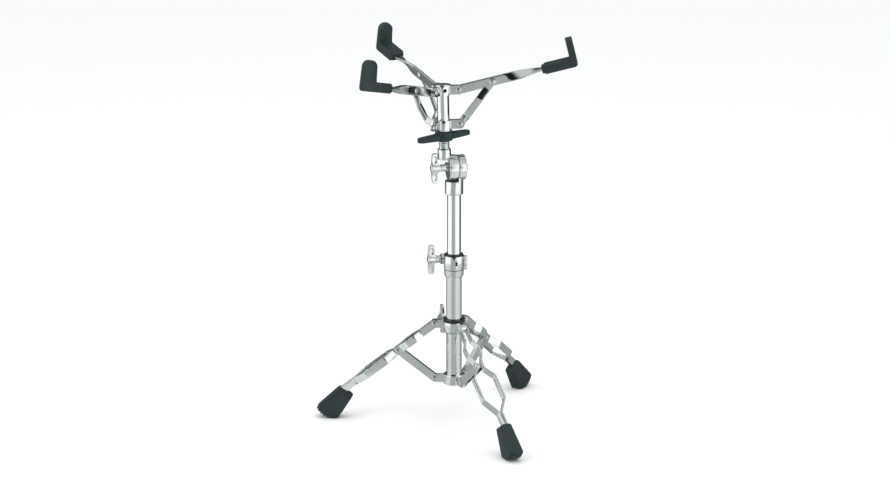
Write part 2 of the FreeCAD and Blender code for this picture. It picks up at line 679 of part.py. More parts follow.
# Tilter head: its disc, and the socket beside the disc that holds the basket shaft
neck_start, neck_end = head_disc_start + disc_rim_round, socket_offset + neck_half_width
head = disc(head_disc_start, head_disc_end).fuse(slab([
    (neck_start, neck_foot), (head_disc_end, neck_foot), (head_disc_end, tilter_height + neck_wing_clearance),
    (neck_end, socket_foot), (neck_end, socket_seat), (neck_start, socket_seat),
], neck_half_width))
socket = spun([
    (0, socket_foot), (socket_radius, socket_foot), (socket_radius, socket_top - socket_round),
    (socket_radius - socket_round, socket_top), (0, socket_top),
])
head = head.fuse(leaned(socket)).cut(leaned(post(screw_radius, socket_seat, socket_top)))
head = head.cut(pin_x(bolt_radius + rivet_gap, head_disc_start, head_disc_end, 0, tilter_height))
save("tilter_head", around(head, tilter_turn))

# Basket shaft, threaded below its step
thread = []
for k in range(screw_turns):
    root = screw_start + (k + 1 / 2) * screw_pitch
    thread += [(screw_radius - screw_depth, root), (screw_radius, root + screw_pitch / 2)]
save_in_basket("basket_shaft", spun(
    [(0, socket_seat), (screw_radius, socket_seat), (screw_radius, screw_start)] + thread + [
        (screw_radius, shaft_step), (shaft_radius, shaft_step), (shaft_radius, shaft_top - shaft_top_round),
        (shaft_radius - shaft_top_round, shaft_top), (0, shaft_top),
    ]
))

def eared_hub(foot, pivot_radius, pivot_height, hole_radius, slot):
    """Hub on the shaft with a pair of ears to each side of each arm's line, drilled for a rivet."""
    hub = post(hub_radius, foot, foot + hub_height)
    ear_reach = pivot_radius - shaft_radius
    ear = link(ear_reach, hub_ear_height, hub_ear_thickness / 2)
    ear = ear.cut(pin_y(hole_radius, hub_ear_thickness, ear_reach, 0))
    for turn in arm_turns:
        for side in (1, -1):
            ear_place = V(shaft_radius, side * (slot + hub_ear_thickness / 2), pivot_height)
            hub = hub.fuse(around(ear.translated(ear_place), turn))
    return hub


# Upper hub, fixed on the shaft by a set screw, its ears for the arms
upper_hub = eared_hub(upper_hub_foot, arm_pivot_radius, arm_pivot_height, rivet_radius, arm_slot)
shaft_room = post(shaft_radius, shaft_step, shaft_top)
set_screw = pin_x(set_screw_radius, 0, hub_radius, 0, upper_hub_middle).cut(shaft_room)
save_in_basket("upper_hub", upper_hub.cut(shaft_room).cut(around(set_screw, set_screw_turn)))
recess = pin_x(set_screw_recess_radius, hub_radius - set_screw_recess_depth, hub_radius, 0, upper_hub_middle)
set_screw = set_screw.common(post(hub_radius, shaft_step, shaft_top)).cut(recess)
save_in_basket("hub_screw", set_screw, set_screw_turn)

# Lower hub, sliding on the shaft, its ears for the struts
slider_hole = rivet_radius + slider_play
lower_hub = eared_hub(lower_hub_foot, slider_pivot_radius, slider_pivot_height, slider_hole, strut_slot)
save_in_basket("lower_hub", lower_hub.cut(post(shaft_radius + running_gap, socket_top, shaft_top)))


def bar_section(along, angle):
    """Outline across the arm's bar, turned about the bar."""
    half_t, half_h = arm_thickness / 2, arm_height / 2
    section = ((-half_t, -half_h), (half_t, -half_h), (half_t, half_h), (-half_t, half_h))
    corners = [V(along, y, z) for y, z in section]
    return Part.makePolygon(corners + [corners[0]]).rotated(ORIGIN, X_AXIS, angle)


# Basket arm: an upright flat bar, twisted a quarter turn, flat where it enters the grip
half_thickness, half_height = arm_thickness / 2, arm_height / 2
arm = pin_y(half_height, half_thickness, 0, 0)
arm = arm.fuse(block(0, arm_helix_start, -half_thickness, half_thickness, -half_height, half_height))
helix_shares = [k / arm_helix_steps for k in range(arm_helix_steps + 1)]
arm = arm.fuse(Part.makeLoft([
    bar_section(arm_helix_start + share * arm_helix_length, share * arm_helix_angle)
    for share in helix_shares
], True, False))
arm = arm.fuse(block(arm_helix_end, arm_end, -half_height, half_height, -half_thickness, half_thickness))
arm = arm.cut(pin_y(rivet_radius + rivet_gap, arm_thickness, 0, 0))
arm = arm.cut(pin_y(rivet_radius, arm_thickness, arm_strut_distance, 0))

# Rubber grip: a bar along the arm with an upright at its outer end
grip_bottom, grip_bar_top = -half_thickness - grip_below_arm, half_thickness + grip_above_arm
grip_top, grip_half = grip_bottom + grip_upright_height, half_height + grip_beside_arm
upright_inside = grip_outer - grip_upright_thickness
upright = block(upright_inside, grip_outer, -grip_half, grip_half, grip_bottom, grip_top)
upright = upright.makeFillet(grip_top_round, [
    e for e in upright.Edges
    if e.CenterOfMass.z > grip_top - running_gap and abs(e.CenterOfMass.y) > grip_half - running_gap
])
grip = upright.fuse(block(grip_step, upright_inside, -grip_half, grip_half, grip_bottom, grip_bar_top))
grip = grip.fuse(block(
    grip_start, grip_step, grip_step_inset - grip_half, grip_half - grip_step_inset,
    grip_bottom + grip_step_inset, grip_bar_top - grip_step_inset,
))
grip = grip.removeSplitter()
bar_ends = grip_step + running_gap, grip_outer - running_gap
grip = grip.makeFillet(grip_round, [
    e for e in grip.Edges
    if abs(e.CenterOfMass.y) < running_gap and bar_ends[0] < e.CenterOfMass.x < bar_ends[1]
])
heel = [
    e for e in grip.Edges
    if e.CenterOfMass.x > grip_outer - running_gap and abs(e.CenterOfMass.y) < running_gap
    and e.CenterOfMass.z < grip_bar_top
]
grip = grip.makeFillet(grip_heel_round, heel)
grip = grip.cut(arm)

# Basket strut: its strip bows out past the arm's side and is joggled in again at both ends
strut_face_in_hub, bow_start = -basket_strut_strip / 2, hub_end_length + hub_joggle_length
bow_end = basket_strut_length - arm_end_length - arm_joggle_length
joggled_path = [
    (-basket_strut_width, strut_face_in_hub), (hub_end_length, strut_face_in_hub),
    (bow_start, -basket_strut_bow), (bow_end, -basket_strut_bow),
    (basket_strut_length - arm_end_length, -arm_strut_outer),
    (basket_strut_length + basket_strut_width, -arm_strut_outer),
]
joggled_path = rounded_path(joggled_path, basket_strut_bend_radius)
basket_strut = ribbon(joggled_path, basket_strut_strip, basket_strut_width)
strut_room = basket_strut_bow + basket_strut_width
basket_strut = basket_strut.common(link(basket_strut_length, basket_strut_width, strut_room))
basket_strut = basket_strut.cut(pin_y(rivet_radius, strut_room, 0, 0))
basket_strut = basket_strut.cut(pin_y(rivet_radius + rivet_gap, strut_room, basket_strut_length, 0))

placed_arm = sloped(arm, -arm_slope, arm_pivot_radius, arm_pivot_height)
placed_grip = sloped(grip, -arm_slope, arm_pivot_radius, arm_pivot_height)
placed_basket_strut = sloped(basket_strut, -basket_strut_slope, slider_pivot_radius, slider_pivot_height)
hub_rivet = rivet(hub_ear_outer, hub_ear_outer).translated(V(arm_pivot_radius, 0, arm_pivot_height))
arm_rivet = rivet(half_thickness, arm_strut_outer + running_gap)
arm_rivet = arm_rivet.translated(V(strut_top_radius, 0, strut_top_height))
slider_grip = slider_ear_outer + running_gap
slider_rivet = rivet(slider_grip, slider_grip).translated(V(slider_pivot_radius, 0, slider_pivot_height))
for n, turn in enumerate(arm_turns, 1):
    save_in_basket("basket_arm_%d" % n, placed_arm, turn)
    save_in_basket("grip_%d" % n, placed_grip, turn)
    save_in_basket("basket_strut_%d" % n, placed_basket_strut, turn)
    save_in_basket("hub_rivet_%d" % n, hub_rivet, turn)
    save_in_basket("arm_rivet_%d" % n, arm_rivet, turn)
    save_in_basket("slider_rivet_%d" % n, slider_rivet, turn)

# Basket nut: a boss with two swept wings, thinner towards their tips
boss_rim = nut_boss_radius - nut_boss_taper
nut = spun([
    (0, nut_foot), (boss_rim, nut_foot), (nut_boss_radius, nut_paddle_height),
    (boss_rim, nut_top), (0, nut_top),
])
tip_x = nut_reach - nut_tip_half_width
plan = closed_face([
    V(0, -nut_root_half_width, nut_foot), V(tip_x, nut_sweep - nut_tip_half_width, nut_foot),
    V(tip_x, nut_sweep + nut_tip_half_width, nut_foot), V(0, nut_root_half_width, nut_foot),
]).extrude(V(0, 0, nut_top - nut_foot))
plan = plan.fuse(post(nut_tip_half_width, nut_foot, nut_top).translated(V(tip_x, nut_sweep, 0)))
paddle = plan.common(slab([
    (0, nut_paddle_height - nut_root_height / 2), (nut_reach, nut_paddle_height - nut_tip_height / 2),
    (nut_reach, nut_paddle_height + nut_tip_height / 2), (0, nut_paddle_height + nut_root_height / 2),
], nut_reach))
nut = nut.fuse(paddle).fuse(around(paddle, 180))
save_in_basket("basket_nut", nut.cut(post(screw_radius + running_gap, nut_foot, nut_top)), nut_turn)
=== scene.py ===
import bpy
import math
import numpy as np
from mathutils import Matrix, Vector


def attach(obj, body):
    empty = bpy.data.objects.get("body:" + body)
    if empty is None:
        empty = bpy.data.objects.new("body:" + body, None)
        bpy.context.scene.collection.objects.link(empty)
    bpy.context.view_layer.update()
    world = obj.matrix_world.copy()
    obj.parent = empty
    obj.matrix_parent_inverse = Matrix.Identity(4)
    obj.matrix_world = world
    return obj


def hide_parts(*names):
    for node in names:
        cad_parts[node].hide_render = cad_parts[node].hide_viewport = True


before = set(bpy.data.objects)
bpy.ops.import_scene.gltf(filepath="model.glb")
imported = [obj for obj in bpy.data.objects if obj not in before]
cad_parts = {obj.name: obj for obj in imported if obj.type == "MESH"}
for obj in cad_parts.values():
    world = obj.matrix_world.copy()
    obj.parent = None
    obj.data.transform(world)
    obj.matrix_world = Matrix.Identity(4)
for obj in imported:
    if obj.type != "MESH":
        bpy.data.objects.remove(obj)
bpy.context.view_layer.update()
mm = 0.001
print("frame loaded:", len(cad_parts), "nodes")

# sizes shared by several pieces, in millimetres and degrees
stand = dict(legTurns=(180, 60, 300), armTurns=(164, 284, 44), tilterTurn=198, basketLean=1.5,
             pivotRadius=30.7, legSlope=37.8, linkLength=74.7, bracketHeight=71.05,
             socketOffset=15.5, socketFoot=432.75, armPivot=(25.0, 542.85), armSlope=13.0, strutPoint=53.6,
             sliderPivot=(26.0, 488.55), tilterHeight=418.45)
linkRise = stand["linkLength"] * math.sin(math.radians(stand["legSlope"]))
linkRun = stand["linkLength"] * math.cos(math.radians(stand["legSlope"]))
collarHeight = stand["bracketHeight"] + 2 * linkRise


# points (..., 3) turned about Z by an angle in degrees
def turnZ(p, angle):
    c, s = math.cos(math.radians(angle)), math.sin(math.radians(angle))
    return p @ np.array([[c, s, 0], [-s, c, 0], [0, 0, 1]])


# points laid along X, tipped down by an angle about Y and carried to (x, z)
def tipDown(p, angle, x, z):
    c, s = math.cos(math.radians(angle)), math.sin(math.radians(angle))
    return p @ np.array([[c, 0, -s], [0, 1, 0], [s, 0, c]]) + np.array([x, 0, z])


# points built about the basket's own axis: turned, carried to the socket, leaned with it and turned with the tilter
def inBasket(p, turn=0):
    upright = turnZ(p, turn) - [0, 0, stand["socketFoot"]]
    leaned = tipDown(upright, stand["basketLean"], stand["socketOffset"], stand["socketFoot"])
    return turnZ(leaned, stand["tilterTurn"])


# smooth 0 to 1 step: t*t*(3-2t) with t the place of x between a and b
def ease(x, a, b):
    t = np.clip((x - a) / (b - a), 0, 1)
    return t * t * (3 - 2 * t)


# quads of a (rows, columns) grid of points, columns joined last to first; rows join too, or get a cap at each end
def gridShell(p, wrapRows=False):
    rows, columns = p.shape[:2]
    i, j = np.meshgrid(np.arange(rows if wrapRows else rows - 1), np.arange(columns), indexing="ij")
    a, b = (i + 1) % rows, (j + 1) % columns
    corners = [i * columns + j, a * columns + j, a * columns + b, i * columns + b]
    faces = np.stack(corners, -1).reshape(-1, 4).tolist()
    if not wrapRows:
        faces.append(list(range(columns))[::-1])
        faces.append([(rows - 1) * columns + k for k in range(columns)])
    return p.reshape(-1, 3), faces


# the volume of a closed shell is a sixth of the sum of a.(b x c) over its triangles; a negative one is turned round
def outward(points, faces):
    corner = np.array([t for f in faces for t in ((f[0], f[k], f[k + 1]) for k in range(1, len(f) - 1))])
    a, b, c = (points[corner[:, k]] for k in range(3))
    volume = np.einsum("ij,ij->i", a, np.cross(b, c)).sum()
    return faces if volume > 0 else [f[::-1] for f in faces]


sharpAngle = 38  # degrees; edges sharper than this are shaded as edges


# one mesh object from several closed shells in millimetres, its place in its points
def makePiece(name, shells, body, material, replaced=()):
    points, faces, first = [], [], 0
    for p, f in shells:
        faces += [[first + k for k in face] for face in outward(p, f)]
        points.append(p)
        first += len(p)
    mesh = bpy.data.meshes.new(name)
    mesh.from_pydata((np.concatenate(points) * mm).tolist(), [], faces)
    mesh.validate()
    mesh.shade_smooth()
    mesh.set_sharp_from_angle(angle=math.radians(sharpAngle))
    piece = bpy.data.objects.new(name, mesh)
    bpy.context.scene.collection.objects.link(piece)
    mesh.materials.append(material)
    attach(piece, body)
    if replaced:
        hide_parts(*replaced)


axisRing = 0.004  # mm, radius of the ring that stands for a point on the axis


# profile of (radius, height) points turned about Z: (r cos, r sin, z); a point on the axis is a tiny capped ring
def lathe(profile, count):
    profile = np.array(profile, float)
    angle = np.linspace(0, 2 * np.pi, count, endpoint=False)
    r, z = np.maximum(profile[:, 0], axisRing)[:, None], profile[:, 1][:, None]
    return np.stack([r * np.cos(angle), r * np.sin(angle), z + 0 * angle], -1)


# a profile with each inner corner cut by an arc of one radius, or of what its sides allow; straight points stay
def rounded(points, radius, steps=4, sideShare=0.49):
    points = np.array(points, float)
    out = [points[:1]]
    for k in range(1, len(points) - 1):
        back, ahead = points[k - 1] - points[k], points[k + 1] - points[k]
        lb, la = np.linalg.norm(back), np.linalg.norm(ahead)
        back, ahead = back / lb, ahead / la
        half = math.acos(max(-1, min(1, float(back @ ahead)))) / 2
        reach = min(radius / max(math.tan(half), 1e-6), sideShare * lb, sideShare * la)
        r = reach * math.tan(half)
        if half > math.pi / 2 - 1e-3 or r < 1e-4:
            out.append(points[k:k + 1])
            continue
        middle = points[k] + (back + ahead) / np.linalg.norm(back + ahead) * (r / math.sin(half))
        first, last = points[k] + back * reach - middle, points[k] + ahead * reach - middle
        t = np.linspace(0, 1, steps + 1)[:, None]
        sweep = math.pi - 2 * half
        out.append(middle + (np.sin((1 - t) * sweep) * first + np.sin(t * sweep) * last) / math.sin(sweep))
    out.append(points[-1:])
    return np.concatenate(out)


# rounded rectangle, corner arcs first: side*(half - r) + r*(cos, sin), with optional points along the long sides
def roundedSection(halfA, halfB, r, steps=4, along=0):
    quarter = np.linspace(0, np.pi / 2, steps + 1)
    a, b = [], []
    for k, (sa, sb) in enumerate(((1, 1), (-1, 1), (-1, -1), (1, -1))):
        angle = quarter + k * np.pi / 2
        a.append(sa * (halfA - r)[:, None] + r[:, None] * np.cos(angle))
        b.append(sb * (halfB - r)[:, None] + r[:, None] * np.sin(angle))
        if along:
            t = np.linspace(0, 1, along + 2)[1:-1]
            na, nb = ((-1, 1), (-1, -1), (1, -1), (1, 1))[k]
            turn = (k + 1) * np.pi / 2
            ea = na * (halfA - r)[:, None] + r[:, None] * np.cos(turn)
            eb = nb * (halfB - r)[:, None] + r[:, None] * np.sin(turn)
            a.append(a[-1][:, -1:] + t * (ea - a[-1][:, -1:]))
            b.append(b[-1][:, -1:] + t * (eb - b[-1][:, -1:]))
    return np.concatenate(a, 1), np.concatenate(b, 1)


# a section carried along a path: place + a*sideways + b*upward at each station
def carried(place, sideways, upward, a, b):
    return place[:, None] + a[..., None] * sideways[:, None] + b[..., None] * upward[:, None]


nearest = dict(path=0.02, strip=0.03)  # mm, stations closer together than this are one


# places along a path at a steady step, by arc length, keeping the path's own points
def stations(path, step):
    length = np.concatenate([[0], np.cumsum(np.linalg.norm(np.diff(path, axis=0), axis=1))])
    s = np.union1d(np.round(length, 5), np.round(np.arange(0, length[-1], step), 5))
    s = s[np.concatenate([[True], np.diff(s) > nearest["path"]])]
    return s, np.stack([np.interp(s, length, path[:, k]) for k in range(path.shape[1])], 1), length[-1]


# half height of a strip with round ends: sqrt(R*R - (R-d)*(R-d)) for a point d from the end
def roundEnd(d, half):
    d = np.clip(d, 0, half)
    return np.sqrt(np.maximum(half * half - (half - d) ** 2, 0))


print("shape functions ready")


# a shader node with its socket values and its settings given by name
def addNode(tree, kind, values=None, **settings):
    node = tree.nodes.new(kind)
    for key, value in settings.items():
        setattr(node, key, value)
    for key, value in (values or {}).items():
        node.inputs[key].default_value = value
    return node


# noise on coordinates that may be stretched
def noiseOf(tree, coordinates, scale, detail=3.0, roughness=0.55, stretch=(1, 1, 1)):
    mapping = addNode(tree, "ShaderNodeMapping", {"Scale": stretch})
    noise = addNode(tree, "ShaderNodeTexNoise", {"Scale": scale, "Detail": detail, "Roughness": roughness})
    tree.links.new(coordinates, mapping.inputs["Vector"])
    tree.links.new(mapping.outputs["Vector"], noise.inputs["Vector"])
    return noise.outputs["Fac"]


# low at fromLow, high at fromHigh, straight between and held beyond; the defaults take in most of a noise
def rangeOf(tree, value, low, high, fromLow=0.3, fromHigh=0.7):
    limits = {"From Min": fromLow, "From Max": fromHigh, "To Min": low, "To Max": high}
    node = addNode(tree, "ShaderNodeMapRange", limits)
    tree.links.new(value, node.inputs["Value"])
    return node.outputs["Result"]


# one colour at factor 0, another at 1
def mixOf(tree, factor, first, second):
    node = addNode(tree, "ShaderNodeMix", data_type="RGBA")
    node.inputs["A"].default_value, node.inputs["B"].default_value = (*first, 1), (*second, 1)
    tree.links.new(factor, node.inputs["Factor"])
    return node.outputs["Result"]


# a new material, its tree, its shader and its Object coordinates
def startMaterial(name):
    material = bpy.data.materials.new(name)
    material.use_nodes = True
    tree = material.node_tree
    shader = tree.nodes["Principled BSDF"]
    place = addNode(tree, "ShaderNodeTexCoord").outputs["Object"]
    return material, tree, shader, place


bumpHeight = dict(ripple=0.0002, pit=0.0003)  # metres
noises = dict(cloud=(4, 0.55), haze=(5, 0.65), grain=(2, 0.5), mottle=(5, 0.6), pits=(3, 0.6))  # detail, roughness


# bright plating: a cloudy tone, a little haze in patches and a fine ripple along the polishing direction
def platedMetal(name, look):
    material, tree, shader, place = startMaterial(name)
    cloud = noiseOf(tree, place, look["cloudScale"], *noises["cloud"])
    haze = noiseOf(tree, place, look["hazeScale"], *noises["haze"])
    grain = noiseOf(tree, place, look["grainScale"], *noises["grain"], look["grainStretch"])
    tone = mixOf(tree, rangeOf(tree, cloud, 0, 1), look["deep"], look["bright"])
    tree.links.new(tone, shader.inputs["Base Color"])
    tree.links.new(rangeOf(tree, haze, *look["roughness"]), shader.inputs["Roughness"])
    bump = addNode(tree, "ShaderNodeBump", {"Strength": look["ripple"], "Distance": bumpHeight["ripple"]})
    tree.links.new(grain, bump.inputs["Height"])
    tree.links.new(bump.outputs["Normal"], shader.inputs["Normal"])
    shader.inputs["Metallic"].default_value = 1.0
    return material


# moulded black rubber or plastic: tone and roughness mottled together, and a fine pitted skin
def mouldedBlack(name, look):
    material, tree, shader, place = startMaterial(name)
    mottle = noiseOf(tree, place, look["mottleScale"], *noises["mottle"])
    pits = noiseOf(tree, place, look["pitScale"], *noises["pits"])
    tone = mixOf(tree, rangeOf(tree, mottle, 0, 1), look["deep"], look["worn"])
    tree.links.new(tone, shader.inputs["Base Color"])
    tree.links.new(rangeOf(tree, mottle, *look["roughness"]), shader.inputs["Roughness"])
    bump = addNode(tree, "ShaderNodeBump", {"Strength": look["pitting"], "Distance": bumpHeight["pit"]})
    tree.links.new(pits, bump.inputs["Height"])
    tree.links.new(bump.outputs["Normal"], shader.inputs["Normal"])
    shader.inputs["Specular IOR Level"].default_value = look["gloss"]
    return material


tubeChrome = platedMetal("tubeChrome", dict(
    deep=(0.66, 0.695, 0.69), bright=(0.74, 0.775, 0.77), cloudScale=14, hazeScale=60, roughness=(0.04, 0.10),
    grainScale=900, grainStretch=(1, 1, 0.02), ripple=0.05))
castChrome = platedMetal("castChrome", dict(
    deep=(0.63, 0.665, 0.66), bright=(0.74, 0.77, 0.765), cloudScale=30, hazeScale=110, roughness=(0.09, 0.18),
    grainScale=160, grainStretch=(1, 1, 1), ripple=0.10))
stripChrome = platedMetal("stripChrome", dict(
    deep=(0.66, 0.70, 0.695), bright=(0.76, 0.80, 0.79), cloudScale=24, hazeScale=90, roughness=(0.07, 0.16),
    grainScale=420, grainStretch=(0.3, 0.3, 1), ripple=0.10))
rivetSteel = platedMetal("rivetSteel", dict(
    deep=(0.52, 0.55, 0.55), bright=(0.66, 0.69, 0.69), cloudScale=80, hazeScale=200, roughness=(0.24, 0.38),
    grainScale=600, grainStretch=(1, 1, 1), ripple=0.12))
footRubber = mouldedBlack("footRubber", dict(
    deep=(0.015, 0.026, 0.028), worn=(0.029, 0.045, 0.047), mottleScale=40, pitScale=900, roughness=(0.50, 0.66),
    pitting=0.35, gloss=0.25))
bushNylon = mouldedBlack("bushNylon", dict(
    deep=(0.008, 0.009, 0.010), worn=(0.016, 0.018, 0.019), mottleScale=60, pitScale=1200, roughness=(0.38, 0.5),
    pitting=0.12, gloss=0.45))
nutPlastic = mouldedBlack("nutPlastic", dict(
    deep=(0.012, 0.024, 0.025), worn=(0.022, 0.038, 0.039), mottleScale=50, pitScale=700, roughness=(0.42, 0.56),
    pitting=0.25, gloss=0.28))
print("finishes made")

# castings keep their solids; welding, dissolving flat triangles and a small bevel give them soft edges
castings = dict(
    chrome=("leg_bracket", "leg_collar", "clamp_body", "clamp_jaw", "tilter_base", "tilter_head",
            "upper_hub", "lower_hub"),
    strip=("leg_strut_1", "leg_strut_2", "leg_strut_3"),
    steel=("clamp_hinge_pin", "clamp_bolt", "tilter_bolt"),
    nylon=("collar_bush", "clamp_bush", "hub_screw"),
    bevel=0.5, segments=3, weld=0.004, flat=1.0, edgeAngle=32)


def softenCasting(name, material):
    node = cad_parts[name]
    node.data.materials.clear()
    node.data.materials.append(material)
    node.modifiers.new("weld", "WELD").merge_threshold = castings["weld"] * mm
    flatten = node.modifiers.new("flatten", "DECIMATE")
    flatten.decimate_type, flatten.angle_limit = "DISSOLVE", math.radians(castings["flat"])
    edge = node.modifiers.new("edge", "BEVEL")
    edge.width, edge.segments, edge.limit_method = castings["bevel"] * mm, castings["segments"], "ANGLE"
    edge.angle_limit, edge.harden_normals = math.radians(castings["edgeAngle"]), True


castingFinish = dict(chrome=castChrome, strip=stripChrome, steel=rivetSteel, nylon=bushNylon)
for group, finish in castingFinish.items():
    for name in castings[group]:
        softenCasting(name, finish)
print("castings softened")

# clamp trim: a dark tab in the slot, a rounded section carried outwards that paints the slot's shade along with the
# black bush seen through it, and a thin dark ring turned under the clamp
clampTrim = dict(turn=288.0, height=265.25, reach=(14.2, 15.1, 15.5), half=(1.55, 3.1), corner=0.5, inset=0.4,
                 seam=(15.5, 15.84, 253.05, 254.2), seamRound=0.12, count=96)


# the dark tab of painted shade in the slot: place = (reach, 0, height), with the section across it, turned to the
# slot
def clampSlotShade():
    reach = np.array(clampTrim["reach"])
    inset = np.array([0, 0, clampTrim["inset"]])
    halfWide, halfTall = clampTrim["half"]
    a, b = roundedSection(halfWide - inset, halfTall - inset, clampTrim["corner"] + 0 * reach)
    place = np.stack([reach, 0 * reach, clampTrim["height"] + 0 * reach], -1)
    sideways, upward = np.tile([0.0, 1.0, 0.0], (len(reach), 1)), np.tile([0.0, 0.0, 1.0], (len(reach), 1))
    points, faces = gridShell(carried(place, sideways, upward, a, b))
    return turnZ(points, clampTrim["turn"]), faces


# a rounded rectangle of (radius, height) turned about the stem
def clampSeam():
    inner, outer, low, high = clampTrim["seam"]
    corners = [(inner, low), (outer, low), (outer, high), (inner, high), (inner, low)]
    wall = rounded(corners, clampTrim["seamRound"])[:-1]
    return gridShell(lathe(wall, clampTrim["count"]), wrapRows=True)


# painted shade: a black plug that darkens the slot, standing for its shade and for the black bush behind it
makePiece("clampSlotShadePlug", [clampSlotShade()], "stem", bushNylon)
makePiece("clampSeamRing", [clampSeam()], "stem", bushNylon)
print("clamp trimmed")

# tubes: a profile up the outer face and down the inner one, turned, with rounded lips
tubes = dict(lower=(12.7, 11.4, 65.45, 253.75), upper=(11.1, 9.8, 161.45, 394.45), lip=0.5, keep=2.5, count=96)


def tubeShell(outer, inner, low, high):
    first, last = low + tubes["keep"], high - tubes["keep"]  # rings that hold the wall's shading straight
    wall = rounded([(outer, first), (outer, last), (outer, high), (inner, high), (inner, last), (inner, first),
                    (inner, low), (outer, low), (outer, first)], tubes["lip"])[:-1]
    return gridShell(lathe(wall, tubes["count"]), wrapRows=True)


makePiece("lowerTubeWall", [tubeShell(*tubes["lower"])], "stem", tubeChrome, ["lower_tube"])
makePiece("upperTubeWall", [tubeShell(*tubes["upper"])], "upper_stem", tubeChrome, ["upper_tube"])

# basket shaft: plain above the step; below it a helical thread, r = r0 - depth*fade*|2*phase - 1|, where phase is
# the fraction of z/pitch - angle/turn and fade takes the groove out at both ends
shaft = dict(screwRadius=8.4, plainRadius=9.5, seat=437.75, threadLow=450.7, step=489.35, top=551.85, topRound=0.5,
             keep=1.6, pitch=3.0, depth=0.8, relief=0.5, runIn=1.0, runOut=(2.0, 1.0), rows=220, count=72)
angle = np.linspace(0, 2 * np.pi, shaft["count"], endpoint=False)
rowZ = np.linspace(shaft["threadLow"], shaft["step"] - shaft["relief"], shaft["rows"])[:, None]
phase = (rowZ / shaft["pitch"] - angle / (2 * np.pi)) % 1
fadeOut, fadeEnd = (shaft["step"] - away for away in shaft["runOut"])
fade = ease(rowZ, shaft["threadLow"], shaft["threadLow"] + shaft["runIn"]) * (1 - ease(rowZ, fadeOut, fadeEnd))
radius = shaft["screwRadius"] - shaft["depth"] * fade * np.abs(2 * phase - 1)
screwGrid = np.stack([radius * np.cos(angle), radius * np.sin(angle), rowZ + 0 * angle], -1)
plain = rounded([(shaft["screwRadius"], shaft["step"]), (shaft["plainRadius"], shaft["step"]),
                 (shaft["plainRadius"], shaft["step"] + shaft["keep"]),
                 (shaft["plainRadius"], shaft["top"] - shaft["keep"]),
                 (shaft["plainRadius"], shaft["top"]), (0, shaft["top"])], shaft["topRound"])
shaftFoot = lathe([(0, shaft["seat"]), (shaft["screwRadius"], shaft["seat"])], shaft["count"])
shaftGrid = np.concatenate([shaftFoot, screwGrid, lathe(plain, shaft["count"])])
makePiece("basketShaftTurned", [gridShell(inBasket(shaftGrid))], "basket", tubeChrome,
          ["basket_shaft"])
print("tubes and shaft turned")

# rivets: a shank with a low domed head at each end, turned about Y; grips are from the middle to each head
rivets = dict(shank=2.5, head=4.2, dome=1.2, rim=0.3, domeRings=9, count=36,
              bracketGrip=(4.3, 4.3), legGrip=(6.5, 6.5), hubGrip=(4.9, 4.9), armGrip=(2.0, 4.8),
              sliderGrip=(4.3, 4.3))


# the dome is part of a sphere: z = dome - R + sqrt(R*R - r*r), R = (head*head + dome*dome)/(2*dome)
def rivetShell(left, right):
    sphere = (rivets["head"] ** 2 + rivets["dome"] ** 2) / (2 * rivets["dome"])
    r = np.linspace(0, rivets["head"] - rivets["rim"], rivets["domeRings"])
    dome = np.stack([r, rivets["dome"] - sphere + np.sqrt(sphere ** 2 - r ** 2)], 1)
    half = np.concatenate([dome, [(rivets["head"], rivets["rim"]), (rivets["head"], 0), (rivets["shank"], 0)]])
    turned = lathe(np.concatenate([half + [0, left], (half[::-1] + [0, right]) * [1, -1]]), rivets["count"])
    points, faces = gridShell(turned)
    return points[:, [0, 2, 1]], faces


# a rivet carried to (radius, height) and turned to its leg or arm
def placeRivet(name, grip, radius, height, turn, body, carry=turnZ):
    points, faces = rivetShell(*rivets[grip])
    points = carry(points + [radius, 0, height], turn)
    makePiece(name + "_head", [(points, faces)], body, rivetSteel, [name])


midRadius, midHeight = stand["pivotRadius"] + linkRun, stand["bracketHeight"] + linkRise
strutTop = (stand["armPivot"][0] + stand["strutPoint"] * math.cos(math.radians(stand["armSlope"])),
            stand["armPivot"][1] + stand["strutPoint"] * math.sin(math.radians(stand["armSlope"])))
for n, turn in enumerate(stand["legTurns"], 1):
    placeRivet("bracket_rivet_%d" % n, "bracketGrip", stand["pivotRadius"], stand["bracketHeight"], turn, "stem")
    placeRivet("collar_rivet_%d" % n, "legGrip", stand["pivotRadius"], collarHeight, turn, "leg_%d" % n)
    placeRivet("leg_rivet_%d" % n, "legGrip", midRadius, midHeight, turn, "leg_%d" % n)
for n, turn in enumerate(stand["armTurns"], 1):
    placeRivet("hub_rivet_%d" % n, "hubGrip", *stand["armPivot"], turn, "basket", inBasket)
    placeRivet("arm_rivet_%d" % n, "armGrip", *strutTop, turn, "arm_%d" % n, inBasket)
    placeRivet("slider_rivet_%d" % n, "sliderGrip", *stand["sliderPivot"], turn, "basket_strut_%d" % n,
               inBasket)
print("rivets set")

# leg strips: a flat section carried along a bent path in the leg's plane, round at the collar
strips = dict(thick=2.2, height=12.3, edge=0.55, bend=6.0, step=3.0)
stripPath = ((-6.15, 4.3), (26.9, 4.3), (39.6, 10.5), (54.5, 10.5), (67.7, 4.3), (81.7, 4.3), (97.7, 17), (139.7, 17),
             (164.7, 1.4), (203, 1.4))
tipAllowance = 0.02  # mm, keeps the end section from closing to nothing
leastHalf, edgeShare = 0.6, 0.95  # an end section's least half height in edge radii; an edge's most share of a half
roundOff = np.array([0, 0.15, 0.5, 1.1, 2.0, 3.1, 4.4])  # mm, stations that draw a round end


